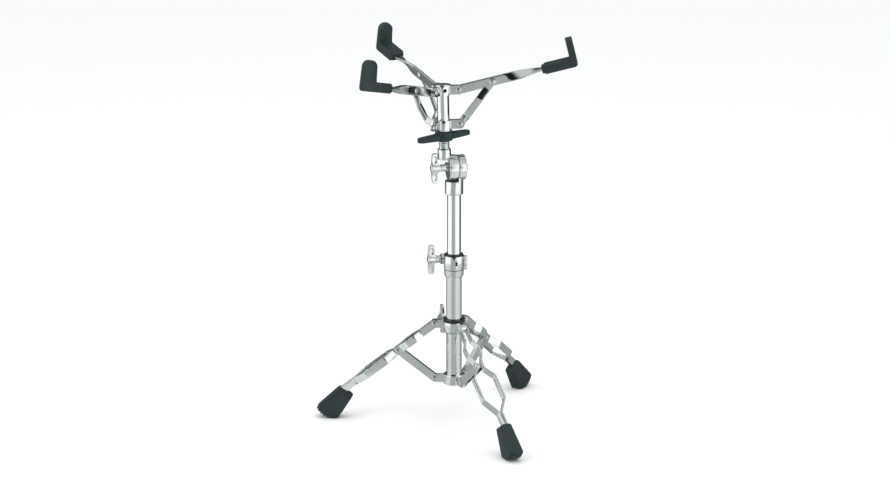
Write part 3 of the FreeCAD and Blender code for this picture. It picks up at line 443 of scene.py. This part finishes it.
# a flat strip whose inner face follows the path: its middle line lies half a thickness to the left; it starts round
def stripShell(path, thick, height, edge, bend, step, roundFinish=False):
    path = np.array(path, float)
    along = np.diff(path, axis=0) / np.linalg.norm(np.diff(path, axis=0), axis=1)[:, None]
    left = np.stack([-along[:, 1], along[:, 0]], 1)
    mitre = np.concatenate([left[:1], left[:-1] + left[1:], left[-1:]])
    mitre[1:-1] /= (1 + np.sum(left[:-1] * left[1:], 1))[:, None]
    middle = rounded(path + mitre * thick / 2, bend, 6)
    s, place, length = stations(middle, step)
    tail = length - (roundOff[::-1] if roundFinish else roundOff[:1])
    s2 = np.union1d(s, np.concatenate([roundOff, tail]))
    s2 = s2[np.concatenate([[True], np.diff(s2) > nearest["strip"]])]
    place = np.stack([np.interp(s2, s, place[:, k]) for k in range(2)], 1)
    heading = np.gradient(place, s2, axis=0)
    heading /= np.linalg.norm(heading, axis=1)[:, None]
    half = roundEnd(s2 + tipAllowance, height / 2)
    if roundFinish:
        half = np.minimum(half, roundEnd(length - s2 + tipAllowance, height / 2))
    half = np.maximum(half, edge * leastHalf)
    r = np.minimum(edge, half * edgeShare)
    a, b = roundedSection(np.full(len(s2), thick / 2), half, r, 3)
    place3 = np.column_stack([place, np.zeros(len(s2))])
    side = np.column_stack([-heading[:, 1], heading[:, 0], np.zeros(len(s2))])
    return gridShell(carried(place3, side, np.tile([0.0, 0, 1], (len(s2), 1)), a, b))


for n, turn in enumerate(stand["legTurns"], 1):
    for letter, flip in (("a", 1), ("b", -1)):
        p, f = stripShell(stripPath, **strips)
        p = turnZ(tipDown(p * [1, flip, 1], stand["legSlope"], stand["pivotRadius"], collarHeight), turn)
        makePiece("legStripBent_%d%s" % (n, letter), [(p, f)], "leg_%d" % n, stripChrome,
                  ["leg_strip_%d%s" % (n, letter)])
print("leg strips bent")

# rubber feet: a fan outline in the leg's plane, rounded over to flat sides, with tread grooves across the sole
feet = dict(along=186.0, slope=56.0, neckInner=18.0, neckOuter=9.0, soleRadius=30.0, centre=(26.0, 4.0),
            innerDrop=19.5, outerDrop=25.0, neckWidth=17.0, soleWidth=24.0, corner=2.6, edge=4.8, crown=0.6,
            treads=5, treadFirst=16.0, treadStep=11.0, treadWidth=3.0, treadDepth=1.5, treadWall=(0.28, 0.62),
            soleBand=(1.2, 0.4), arcPoints=90, loop=420, middle=(28.0, 0.0),
            faceRings=(0.02, 0.2, 0.4, 0.6, 0.8, 0.94), edgeRings=7, cutFace=0.35, cutEdge=0.9)


# the fan's corners are softened by a Gaussian mean of the evenly spaced outline, exp(-d*d/(2*corner*corner))
def footOutline():
    cu, cv = feet["centre"]
    sole, inner, outer = feet["soleRadius"], feet["innerDrop"], feet["outerDrop"]
    arc = np.linspace(-math.acos(inner / sole), math.acos(outer / sole), feet["arcPoints"])
    fan = np.concatenate([[(0, 0), (0, -feet["neckInner"])],
                          np.stack([cu + sole * np.cos(arc), cv + sole * np.sin(arc)], 1),
                          [(0, feet["neckOuter"]), (0, 0)]])
    length = np.concatenate([[0], np.cumsum(np.linalg.norm(np.diff(fan, axis=0), axis=1))])
    s = np.linspace(0, length[-1], feet["loop"], endpoint=False)
    loop = np.stack([np.interp(s, length, fan[:, k]) for k in range(2)], 1)
    apart = np.minimum(s, length[-1] - s)
    weight = np.exp(-apart ** 2 / (2 * feet["corner"] ** 2))
    spectrum = np.fft.rfft(weight / weight.sum())
    return np.stack([np.fft.irfft(np.fft.rfft(loop[:, k]) * spectrum, feet["loop"]) for k in range(2)], 1)


# rings of the outline shrunk towards the middle on the flat side, then over the rounded edge; the rings are mirrored
def footShell():
    cu, cv = feet["centre"]
    sole, loop = feet["soleRadius"], footOutline()
    ahead = np.roll(loop, -1, 0) - np.roll(loop, 1, 0)
    normal = np.stack([ahead[:, 1], -ahead[:, 0]], 1) / np.linalg.norm(ahead, axis=1)[:, None]
    bearing = np.degrees(np.arctan2(loop[:, 1] - cv, loop[:, 0] - cu))
    bandFrom, bandTo = (sole - b for b in feet["soleBand"])
    onSole = ease(np.linalg.norm(loop - [cu, cv], axis=1), bandFrom, bandTo)
    wallFrom, wallTo = (feet["treadWidth"] * t for t in feet["treadWall"])
    grooves = np.zeros(len(loop))
    for k in range(feet["treads"]):
        middle = feet["slope"] + feet["treadFirst"] + k * feet["treadStep"] - 90
        off = np.radians(bearing - middle) * sole
        grooves = np.maximum(grooves, 1 - ease(np.abs(off), wallFrom, wallTo))
    grooves *= onSole * feet["treadDepth"]
    face, v = np.array(feet["faceRings"]), np.linspace(0, np.pi / 2, feet["edgeRings"])
    scale = np.concatenate([face, np.ones(len(v))])
    inset = feet["edge"] * np.concatenate([np.ones(len(face)), 1 - np.sin(v)])
    drop = np.concatenate([-feet["crown"] * (1 - face ** 2), feet["edge"] * (1 - np.cos(v))])
    cut = np.concatenate([np.linspace(0, feet["cutFace"], len(face)) ** 3, ease(v, 0, feet["cutEdge"])])
    centre = np.array(feet["middle"])
    ring = loop[None] - normal[None] * (inset[:, None] + grooves[None] * cut[:, None])[..., None]
    ring = centre + (ring - centre) * scale[:, None, None]
    width = feet["neckWidth"] + (feet["soleWidth"] - feet["neckWidth"]) * np.clip(ring[..., 0] / (cu + sole), 0, 1)
    y = width / 2 - drop[:, None]
    side = np.stack([ring[..., 0], y, ring[..., 1]], -1)
    other = side[::-1] * [1, -1, 1]
    return gridShell(np.concatenate([side, other]))


neckX = stand["pivotRadius"] + feet["along"] * math.cos(math.radians(stand["legSlope"]))
neckZ = collarHeight - feet["along"] * math.sin(math.radians(stand["legSlope"]))
for n, turn in enumerate(stand["legTurns"], 1):
    p, f = footShell()
    p = turnZ(tipDown(p, feet["slope"], neckX, neckZ), turn)
    p[:, 2] = np.maximum(p[:, 2], 0)
    makePiece("footMoulded_%d" % n, [(p, f)], "leg_%d" % n, footRubber, ["foot_%d" % n])
print("feet moulded")

# basket arms: a flat bar carried along X whose section turns a quarter about the bar
arms = dict(height=14.5, thick=4.0, edge=0.9, twistStart=74.0, twistEnd=130.5, end=176.5, twist=-90.0,
            evenShare=0.7, steps=90, endGap=0.03, leastHalf=0.5)
armRoundOff = np.array([0, 0.15, 0.5, 1.2, 2.2, 3.4, 4.8, 6.75])  # mm, stations that draw the round end


# the turn is a share of a straight rise and the rest of a smooth one, between the twist's start and end
def armShell():
    start = -arms["height"] / 2
    s = np.union1d(start + armRoundOff, np.linspace(0, arms["end"], arms["steps"]))
    half = np.maximum(roundEnd(s - start + arms["endGap"], arms["height"] / 2), arms["leastHalf"])
    r = np.minimum(arms["edge"], half * edgeShare)
    a, b = roundedSection(np.full(len(s), arms["thick"] / 2), half, r, 4, 2)
    even = np.clip((s - arms["twistStart"]) / (arms["twistEnd"] - arms["twistStart"]), 0, 1)
    turn = arms["evenShare"] * even + (1 - arms["evenShare"]) * ease(even, 0, 1)
    turn = np.radians(arms["twist"]) * turn
    zero = np.zeros(len(s))
    side = np.stack([zero, np.cos(turn), np.sin(turn)], 1)
    up = np.stack([zero, -np.sin(turn), np.cos(turn)], 1)
    return gridShell(carried(np.stack([s, zero, zero], 1), side, up, a, b))


# basket struts: one strip from the lower hub's slot, bowed out to one side and brought back beside the arm
joggleStrip = dict(thick=2.2, height=11.5, edge=0.5, bend=4.0, step=2.5)
joggle = dict(bow=8.5, beside=4.5, hubEnd=9.0, hubRise=9.0, armEnd=13.5, armRise=19.5)
strutRun, strutRise = strutTop[0] - stand["sliderPivot"][0], strutTop[1] - stand["sliderPivot"][1]
strutLength, strutSlope = math.hypot(strutRun, strutRise), math.degrees(math.atan2(strutRise, strutRun))
strutInner, strutOverhang = -joggleStrip["thick"] / 2, joggleStrip["height"] / 2
jogglePath = ((-strutOverhang, strutInner), (joggle["hubEnd"], strutInner),
              (joggle["hubEnd"] + joggle["hubRise"], -joggle["bow"]),
              (strutLength - joggle["armEnd"] - joggle["armRise"], -joggle["bow"]),
              (strutLength - joggle["armEnd"], -joggle["beside"]), (strutLength + strutOverhang, -joggle["beside"]))

# grips: a rounded section at each station, from an outer rail under and behind to an inner rail above and inside
grips = dict(start=132.5, stepAt=137.0, outer=188.5, bottom=-7.9, bar=15.0, upright=10.6, top=38.6, width=24.6,
             stepInset=1.6, endRound=0.8, taper=1.0, edge=2.2, heel=5.0, crook=2.0, tongue=10.2, topRound=1.4,
             endPlaces=(0, 0.5, 1.2), stepPlaces=(-0.6, -0.2, 0.3, 1.0, 10, 20, 30), stepFade=(-0.4, 0.6),
             endFade=1.2, bendRings=8, straightFrom=6, straightTo=1, straightRings=6, archShare=0.97, archRings=14)
mouldShare = 0.9  # an edge's most share of a half on moulded and cast pieces


# heel and crook are quarter arcs; at a height h up the tongue the half width falls by R - sqrt(R*R - h*h)
def gripShell():
    g = grips
    inside, barTop, inset = g["outer"] - g["upright"], g["bottom"] + g["bar"], g["stepInset"]
    bend = np.linspace(0, np.pi / 2, g["bendRings"])
    heel = np.stack([g["outer"] - g["heel"] + g["heel"] * np.sin(bend),
                     g["bottom"] + g["heel"] - g["heel"] * np.cos(bend)], 1)
    crook = np.stack([inside - g["crook"] + g["crook"] * np.sin(bend),
                      barTop + g["crook"] - g["crook"] * np.cos(bend)], 1)
    barX = np.concatenate([g["start"] + np.array(g["endPlaces"]), g["stepAt"] + np.array(g["stepPlaces"])])
    lip = inset * (1 - ease(barX, *(g["stepAt"] + f for f in g["stepFade"])))
    lip = lip + g["endRound"] * (1 - ease(barX, g["start"], g["start"] + g["endFade"]))
    under = np.stack([barX, g["bottom"] + lip], 1)
    above = np.stack([barX, barTop - lip], 1)
    straight = np.linspace(barTop + g["straightFrom"], g["top"] - g["tongue"] - g["straightTo"], g["straightRings"])
    arch = np.sin(np.linspace(0, np.pi / 2 * g["archShare"], g["archRings"]))
    lift = np.sort(np.concatenate([straight, g["top"] - g["tongue"] * (1 - arch)]))
    soften = g["topRound"] * (1 - roundEnd(g["top"] + tipAllowance - lift, g["topRound"]) / g["topRound"])
    back = np.stack([np.full(len(lift), g["outer"]) - soften, lift], 1)
    front = np.stack([np.full(len(lift), inside) + soften, lift], 1)
    outerRail, innerRail = np.concatenate([under, heel, back]), np.concatenate([above, crook, front])
    halfWidth = np.full(len(outerRail), g["width"] / 2)
    halfWidth[:len(barX)] -= lip
    halfWidth[-len(lift):] -= g["taper"] * (lift - barTop) / (g["top"] - barTop)  # narrower towards the top
    over = np.clip(lift - (g["top"] - g["tongue"]), 0, g["tongue"])
    halfWidth[-len(lift):] += np.sqrt(g["tongue"] ** 2 - over ** 2) - g["tongue"]
    middle, reach = (outerRail + innerRail) / 2, (innerRail - outerRail) / 2
    halfThick = np.linalg.norm(reach, axis=1)
    up = np.stack([reach[:, 0] / halfThick, 0 * halfThick, reach[:, 1] / halfThick], 1)
    place = np.stack([middle[:, 0], 0 * halfThick, middle[:, 1]], 1)
    r = np.minimum(g["edge"], mouldShare * np.minimum(halfThick, halfWidth))
    a, b = roundedSection(halfWidth, halfThick, r, 5, 3)
    return gridShell(carried(place, np.tile([0.0, 1, 0], (len(place), 1)), up, a, b))


for n, turn in enumerate(stand["armTurns"], 1):
    p, f = armShell()
    p = inBasket(tipDown(p, -stand["armSlope"], *stand["armPivot"]), turn)
    makePiece("armTwisted_%d" % n, [(p, f)], "arm_%d" % n, stripChrome, ["basket_arm_%d" % n])
    p, f = gripShell()
    p = inBasket(tipDown(p, -stand["armSlope"], *stand["armPivot"]), turn)
    makePiece("gripMoulded_%d" % n, [(p, f)], "arm_%d" % n, footRubber, ["grip_%d" % n])
    p, f = stripShell(jogglePath, **joggleStrip, roundFinish=True)
    p = inBasket(tipDown(p, -strutSlope, *stand["sliderPivot"]), turn)
    makePiece("basketStrutBent_%d" % n, [(p, f)], "basket_strut_%d" % n, stripChrome,
              ["basket_strut_%d" % n])
print("basket arms, grips and struts made")

# wing nuts: a bowed paddle lofted along its span, on a hub turned about X from the seat
wings = dict(span=48.0, tipDepth=10.5, thick=5.0, hub=6.4, bow=1.8, flare=0.5, corner=2.6, edge=1.1, fillet=5.0,
             filletShare=0.8, recess=0.45, recessAt=14.3, recessHalf=(3.0, 5.6), recessShare=0.52, hubRound=1.2,
             hubCount=48, stemRadius=4.0, stemIn=0.5, stemRound=0.8, stemCount=32, rings=81, filletIn=1.0,
             tipPull=0.95, leastHalf=0.6, thinning=0.12, swell=0.9, swellEnds=(-2, 5), tipThin=0.5, tipLength=1.0,
             recessEdge=(0.72, 1.05), recessFace=0.75)
# the hub's outline, as (beyond the hub's radius, share of the length, beyond that)
wingHub = ((-0.2, 0, 0), (-0.9, 0.45, 0), (0.3, 1, -0.6), (-1.6, 1, 0.45))
hubCrown = 0.6  # mm, how far the hub's face stands past the length
# where each sits: (length, (along, across, up), turn, length of the screw's stem)
wingSeats = dict(clamp=(21.0, (16.8, -21.0, 265.25), stand["tilterTurn"], 0.0),
                 tilter=(26.5, (10.7, 0, stand["tilterHeight"]), stand["tilterTurn"], 0.0),
                 collar=(22.0, (27.3, 0, collarHeight - 3.5), 120, 14.3))


# outer edge x = length - bow*(z/reach)^2; inner edge straight, filleted at the hub; both pull in at the tips
def wingShells(length, stem):
    w, reach = wings, wings["span"] / 2
    z = reach * np.sin(np.linspace(-np.pi / 2, np.pi / 2, w["rings"]))
    far = np.abs(z)
    outer = length - w["bow"] * (far / reach) ** 2
    inner = length - w["tipDepth"] - w["flare"] * (1 - far / reach)
    inner = inner - (w["fillet"] - roundEnd(far - w["hub"] + w["filletIn"], w["fillet"])) * w["filletShare"]
    tip = np.clip(far - (reach - w["corner"]), 0, w["corner"])
    pull = w["corner"] - np.sqrt(np.maximum(w["corner"] ** 2 - tip ** 2, 0))
    outer, inner = outer - pull * w["tipPull"], inner + pull * w["tipPull"]
    halfX = np.maximum((outer - inner) / 2, w["leastHalf"])
    swell = w["swell"] * (1 - ease(far, *(w["hub"] + e for e in w["swellEnds"])))
    halfY = w["thick"] / 2 * (1 - w["thinning"] * (far / reach) ** 2) + swell
    thin = 1 - ease(far, reach - w["tipLength"], reach) * w["tipThin"]
    r = np.minimum(w["edge"], mouldShare * np.minimum(halfX, halfY * thin))
    a, b = roundedSection(halfX, halfY * thin, r, 4, 9)
    x = (outer + inner)[:, None] / 2 + a
    recessX, (deep, wide) = length - w["tipDepth"] * w["recessShare"], w["recessHalf"]
    oval = ((x - recessX) / deep) ** 2 + ((far[:, None] - w["recessAt"]) / wide) ** 2
    dish = w["recess"] * (1 - ease(oval, *w["recessEdge"])) * (np.abs(b) > (halfY * thin)[:, None] * w["recessFace"])
    paddle = np.stack([x, b - np.sign(b) * dish, z[:, None] + 0 * a], -1)
    hub = [(w["hub"] + wider, length * part + more) for wider, part, more in wingHub]
    hub = rounded([(0, 0), *hub, (0, length + hubCrown)], w["hubRound"])
    shells = [gridShell(paddle), gridShell(lathe(hub, w["hubCount"])[..., [2, 0, 1]])]
    if stem:
        pin = [(0, -stem), (w["stemRadius"], -stem), (w["stemRadius"], w["stemIn"]), (0, w["stemIn"])]
        pin = lathe(rounded(pin, w["stemRound"]), w["stemCount"])
        shells.append(gridShell(pin[..., [2, 0, 1]]))
    return shells


# the node and its body have one name
def placeWing(name, node, length, origin, turn, stem):
    shells = [(turnZ(p + np.array(origin, float), turn), f) for p, f in wingShells(length, stem)]
    makePiece(name, shells, node, castChrome, [node])


placeWing("clampWingCast", "clamp_wing", *wingSeats["clamp"])
placeWing("tilterWingCast", "tilter_wing", *wingSeats["tilter"])
placeWing("collarScrewCast", "collar_screw", *wingSeats["collar"])
print("wing nuts cast")

# basket nut: one handle lofted from tip to tip, flatter towards its round tips and swept, with a turned boss
nut = dict(foot=462.65, top=478.65, paddle=468.85, boss=15.6, taper=2.5, bore=8.7, bossRound=1.2, bossCount=64,
           reach=50.0, tipHalf=7.5, sweep=3.5, rootHeight=12.0, tipHeight=7.0, edge=2.2, turn=19, rings=91,
           endGap=0.03, leastHalf=0.8, tipFall=2, tipLeast=0.35)


# half width = tipHalf with round ends; height = root + (tip - root)*share of the reach, falling by an arc at the ends
def nutShells():
    q = nut
    x = q["reach"] * np.sin(np.linspace(-np.pi / 2, np.pi / 2, q["rings"]))
    share = np.abs(x) / q["reach"]
    half = np.maximum(roundEnd(q["reach"] - np.abs(x) + q["endGap"], q["tipHalf"]), q["leastHalf"])
    tall = (q["rootHeight"] + (q["tipHeight"] - q["rootHeight"]) * share) / 2
    fall = np.clip((np.abs(x) - q["reach"] + q["tipFall"]) / q["tipFall"], 0, 1)
    tall = tall * (q["tipLeast"] + (1 - q["tipLeast"]) * np.sqrt(1 - fall ** 2))
    middle = q["paddle"]
    r = np.minimum(q["edge"], mouldShare * np.minimum(half, tall))
    a, b = roundedSection(half, tall, r, 5, 2)
    y = q["sweep"] * x / (q["reach"] - q["tipHalf"])
    handle = np.stack([x[:, None] + 0 * a, y[:, None] + a, middle + b], -1)
    rim = q["boss"] - q["taper"]
    wall = rounded([(q["bore"], middle), (q["bore"], q["top"]), (rim, q["top"]), (q["boss"], middle),
                    (rim, q["foot"]), (q["bore"], q["foot"]), (q["bore"], middle)], q["bossRound"])[:-1]
    return [gridShell(handle), gridShell(lathe(wall, q["bossCount"]), wrapRows=True)]


makePiece("basketNutMoulded", [(inBasket(p, nut["turn"]), f) for p, f in nutShells()], "basket_nut", nutPlastic,
          ["basket_nut"])
print("basket nut moulded")

# floor, studio light and camera, in metres and degrees; frontTurn is in radians, the focal length in pixels
stage = dict(floorSize=30.0, floorTone=(0.92, 0.925, 0.925), floorMottle=0.985, floorScale=2.0, floorRoughness=0.8,
             floorGloss=0.2, camera=(3.2, 1.14), pitch=14.78, azimuth=4.0, yaw=0.255, focal=2090.0, frameWidth=890,
             sensorWidth=36.0, clipEnd=100, toneTint=(0.97, 1.0, 0.995), overhead=1.4, overheadMirrored=0.72,
             overheadFrom=0.45, overheadTo=0.8, frontTurn=0.10,
             paintedTableEdge=(0.90, 0.97), paintedTableShare=0.39, paintedTableGrey=(0.545, 0.56, 0.558), paintedFarEdge=(2.1, 2.5))
# tones by bearing, as (share of a half turn from the front, brightness): the floor's painted reflection over the near
# floor and over the far floor to the right and to the left, and the room's light
paintedPanelTones = ((0.0, 0.50), (0.13, 0.56), (0.21, 1.45), (0.54, 1.45), (0.60, 0.36), (0.66, 0.26), (0.76, 0.20),
              (0.84, 0.04), (1.0, 0.03))
paintedFarRight = ((0.0, 0.50), (0.13, 0.56), (0.21, 1.45), (0.54, 1.45), (0.59, 0.30), (0.62, 0.02), (1.0, 0.03))
paintedFarLeft = ((0.0, 0.50), (0.13, 0.56), (0.21, 1.45), (0.54, 1.45), (0.60, 0.32), (0.66, 0.17), (0.8, 0.12),
             (1.0, 0.03))
roomTones = ((0.0, 0.015), (0.16, 0.015), (0.21, 1.30), (0.54, 1.45), (0.60, 0.40), (0.66, 0.10), (0.8, 0.06),
             (1.0, 0.10))


# a maths node whose inputs are numbers or links
def mathOf(tree, operation, first, second=None):
    node = addNode(tree, "ShaderNodeMath", operation=operation)
    for socket, value in zip(node.inputs, (first, second)):
        if value is None:
            continue
        if isinstance(value, (int, float)):
            socket.default_value = value
        else:
            tree.links.new(value, socket)
    return node.outputs[0]


# studio tone by bearing from the front, for the room's light and the floor's painted reflection: grey ahead on the
# floor's painted table, dark ahead in the room, a tall soft panel on each hand, dark behind
def toneByBearing(tree, vector, right, left):
    split = addNode(tree, "ShaderNodeSeparateXYZ")
    tree.links.new(vector, split.inputs["Vector"])
    bearing = mathOf(tree, "ARCTAN2", split.outputs["X"], mathOf(tree, "MULTIPLY", split.outputs["Y"], -1.0))
    turned = mathOf(tree, "DIVIDE", mathOf(tree, "ADD", bearing, stage["frontTurn"]), 2 * math.pi)
    panels = addNode(tree, "ShaderNodeValToRGB")
    tree.links.new(mathOf(tree, "ADD", turned, 0.5), panels.inputs["Fac"])
    stops = panels.color_ramp.elements
    for place, tone in sorted([(0.5 - p / 2, t) for p, t in left] + [(0.5 + p / 2, t) for p, t in right[1:]]):
        stop = stops[0] if place == 0 else stops[-1] if place == 1 else stops.new(place)
        stop.color = (*(tone * c for c in stage["toneTint"]), 1)
    return panels.outputs["Color"], split.outputs


# the floor is pale paper; glossy rays see an emission there instead, a painted reflection of a grey table with the
# studio's panels beyond the table's edge, which the plating mirrors
bpy.ops.mesh.primitive_plane_add(size=stage["floorSize"])
floor = bpy.context.object
floor.name = "floor"
floorWithPaintedReflection, tree, shader, place = startMaterial("floorWithPaintedReflection")
mottled = tuple(stage["floorMottle"] * c for c in stage["floorTone"])
tree.links.new(mixOf(tree, noiseOf(tree, place, stage["floorScale"]), stage["floorTone"], mottled),
               shader.inputs["Base Color"])
shader.inputs["Roughness"].default_value = stage["floorRoughness"]
shader.inputs["Specular IOR Level"].default_value = stage["floorGloss"]
tone, axes = toneByBearing(tree, place, paintedPanelTones, paintedPanelTones)
squares = [mathOf(tree, "POWER", axes[letter], 2.0) for letter in "XY"]
distance = mathOf(tree, "SQRT", mathOf(tree, "ADD", *squares))
paintedReflectionColour = addNode(tree, "ShaderNodeMix", data_type="RGBA")
tree.links.new(rangeOf(tree, distance, stage["paintedTableShare"], 1.0, *stage["paintedTableEdge"]), paintedReflectionColour.inputs["Factor"])
paintedReflectionColour.inputs["A"].default_value = (*stage["paintedTableGrey"], 1)
paintedFarTones = toneByBearing(tree, place, paintedFarRight, paintedFarLeft)[0]
far = addNode(tree, "ShaderNodeMix", data_type="RGBA")
tree.links.new(rangeOf(tree, distance, 0.0, 1.0, *stage["paintedFarEdge"]), far.inputs["Factor"])
tree.links.new(tone, far.inputs["A"])
tree.links.new(paintedFarTones, far.inputs["B"])
tree.links.new(far.outputs["Result"], paintedReflectionColour.inputs["B"])
# painted reflection: the floor glows with these tones for glossy rays only
paintedReflection = addNode(tree, "ShaderNodeEmission")
tree.links.new(paintedReflectionColour.outputs["Result"], paintedReflection.inputs["Color"])
glossy = addNode(tree, "ShaderNodeLightPath").outputs["Is Glossy Ray"]
blend = addNode(tree, "ShaderNodeMixShader")
tree.links.new(glossy, blend.inputs["Fac"])
tree.links.new(shader.outputs["BSDF"], blend.inputs[1])
tree.links.new(paintedReflection.outputs["Emission"], blend.inputs[2])
tree.links.new(blend.outputs["Shader"], tree.nodes["Material Output"].inputs["Surface"])
floor.data.materials.append(floorWithPaintedReflection)

world = bpy.data.worlds.new("studio")
bpy.context.scene.world = world
world.use_nodes = True
tree = world.node_tree
tone, axes = toneByBearing(tree, addNode(tree, "ShaderNodeTexCoord").outputs["Generated"], roomTones, roomTones)
blendTop = addNode(tree, "ShaderNodeMix", data_type="RGBA")
overheadShare = rangeOf(tree, axes["Z"], 0.0, 1.0, stage["overheadFrom"], stage["overheadTo"])
tree.links.new(overheadShare, blendTop.inputs["Factor"])
tree.links.new(tone, blendTop.inputs["A"])
rays = addNode(tree, "ShaderNodeLightPath").outputs
above = mixOf(tree, rays["Is Glossy Ray"], (stage["overhead"],) * 3, (stage["overheadMirrored"],) * 3)
tree.links.new(above, blendTop.inputs["B"])
background = tree.nodes["Background"]
tree.links.new(blendTop.outputs["Result"], background.inputs["Color"])
paper = addNode(tree, "ShaderNodeBackground", {"Color": (1, 1, 1, 1), "Strength": 1.0})
choose = addNode(tree, "ShaderNodeMixShader")
tree.links.new(rays["Is Camera Ray"], choose.inputs["Fac"])
tree.links.new(background.outputs["Background"], choose.inputs[1])
tree.links.new(paper.outputs["Background"], choose.inputs[2])
tree.links.new(choose.outputs["Shader"], tree.nodes["World Output"].inputs["Surface"])

lamps = dict(top=dict(place=(0.3, -0.6, 2.8), aim=(0, 0, 0.2), size=2.6, power=19.0),
             left=dict(place=(-2.2, -1.6, 1.8), aim=(0, 0, 0.3), size=1.5, power=10.0))
for name, lamp in lamps.items():
    data = bpy.data.lights.new(name + "Softbox", "AREA")
    data.shape, data.size, data.energy = "SQUARE", lamp["size"], lamp["power"]
    light = bpy.data.objects.new(name + "Softbox", data)
    bpy.context.scene.collection.objects.link(light)
    light.visible_glossy = False
    light.location = lamp["place"]
    light.rotation_euler = (Vector(lamp["aim"]) - Vector(lamp["place"])).to_track_quat("-Z", "Y").to_euler()

bearingCamera = math.radians(stage["azimuth"])
cameraData = bpy.data.cameras.new("camera")
camera = bpy.data.objects.new("camera", cameraData)
bpy.context.scene.collection.objects.link(camera)
away, eyeHeight = stage["camera"]
camera.location = (away * math.sin(bearingCamera), -away * math.cos(bearingCamera), eyeHeight)
camera.rotation_euler = (math.radians(90 - stage["pitch"]), 0, bearingCamera + math.radians(stage["yaw"]))
cameraData.sensor_width = stage["sensorWidth"]
cameraData.lens = stage["sensorWidth"] * stage["focal"] / stage["frameWidth"]
cameraData.clip_end = stage["clipEnd"]
bpy.context.scene.camera = camera
bpy.context.scene.view_settings.view_transform = "Standard"
print("stage set")
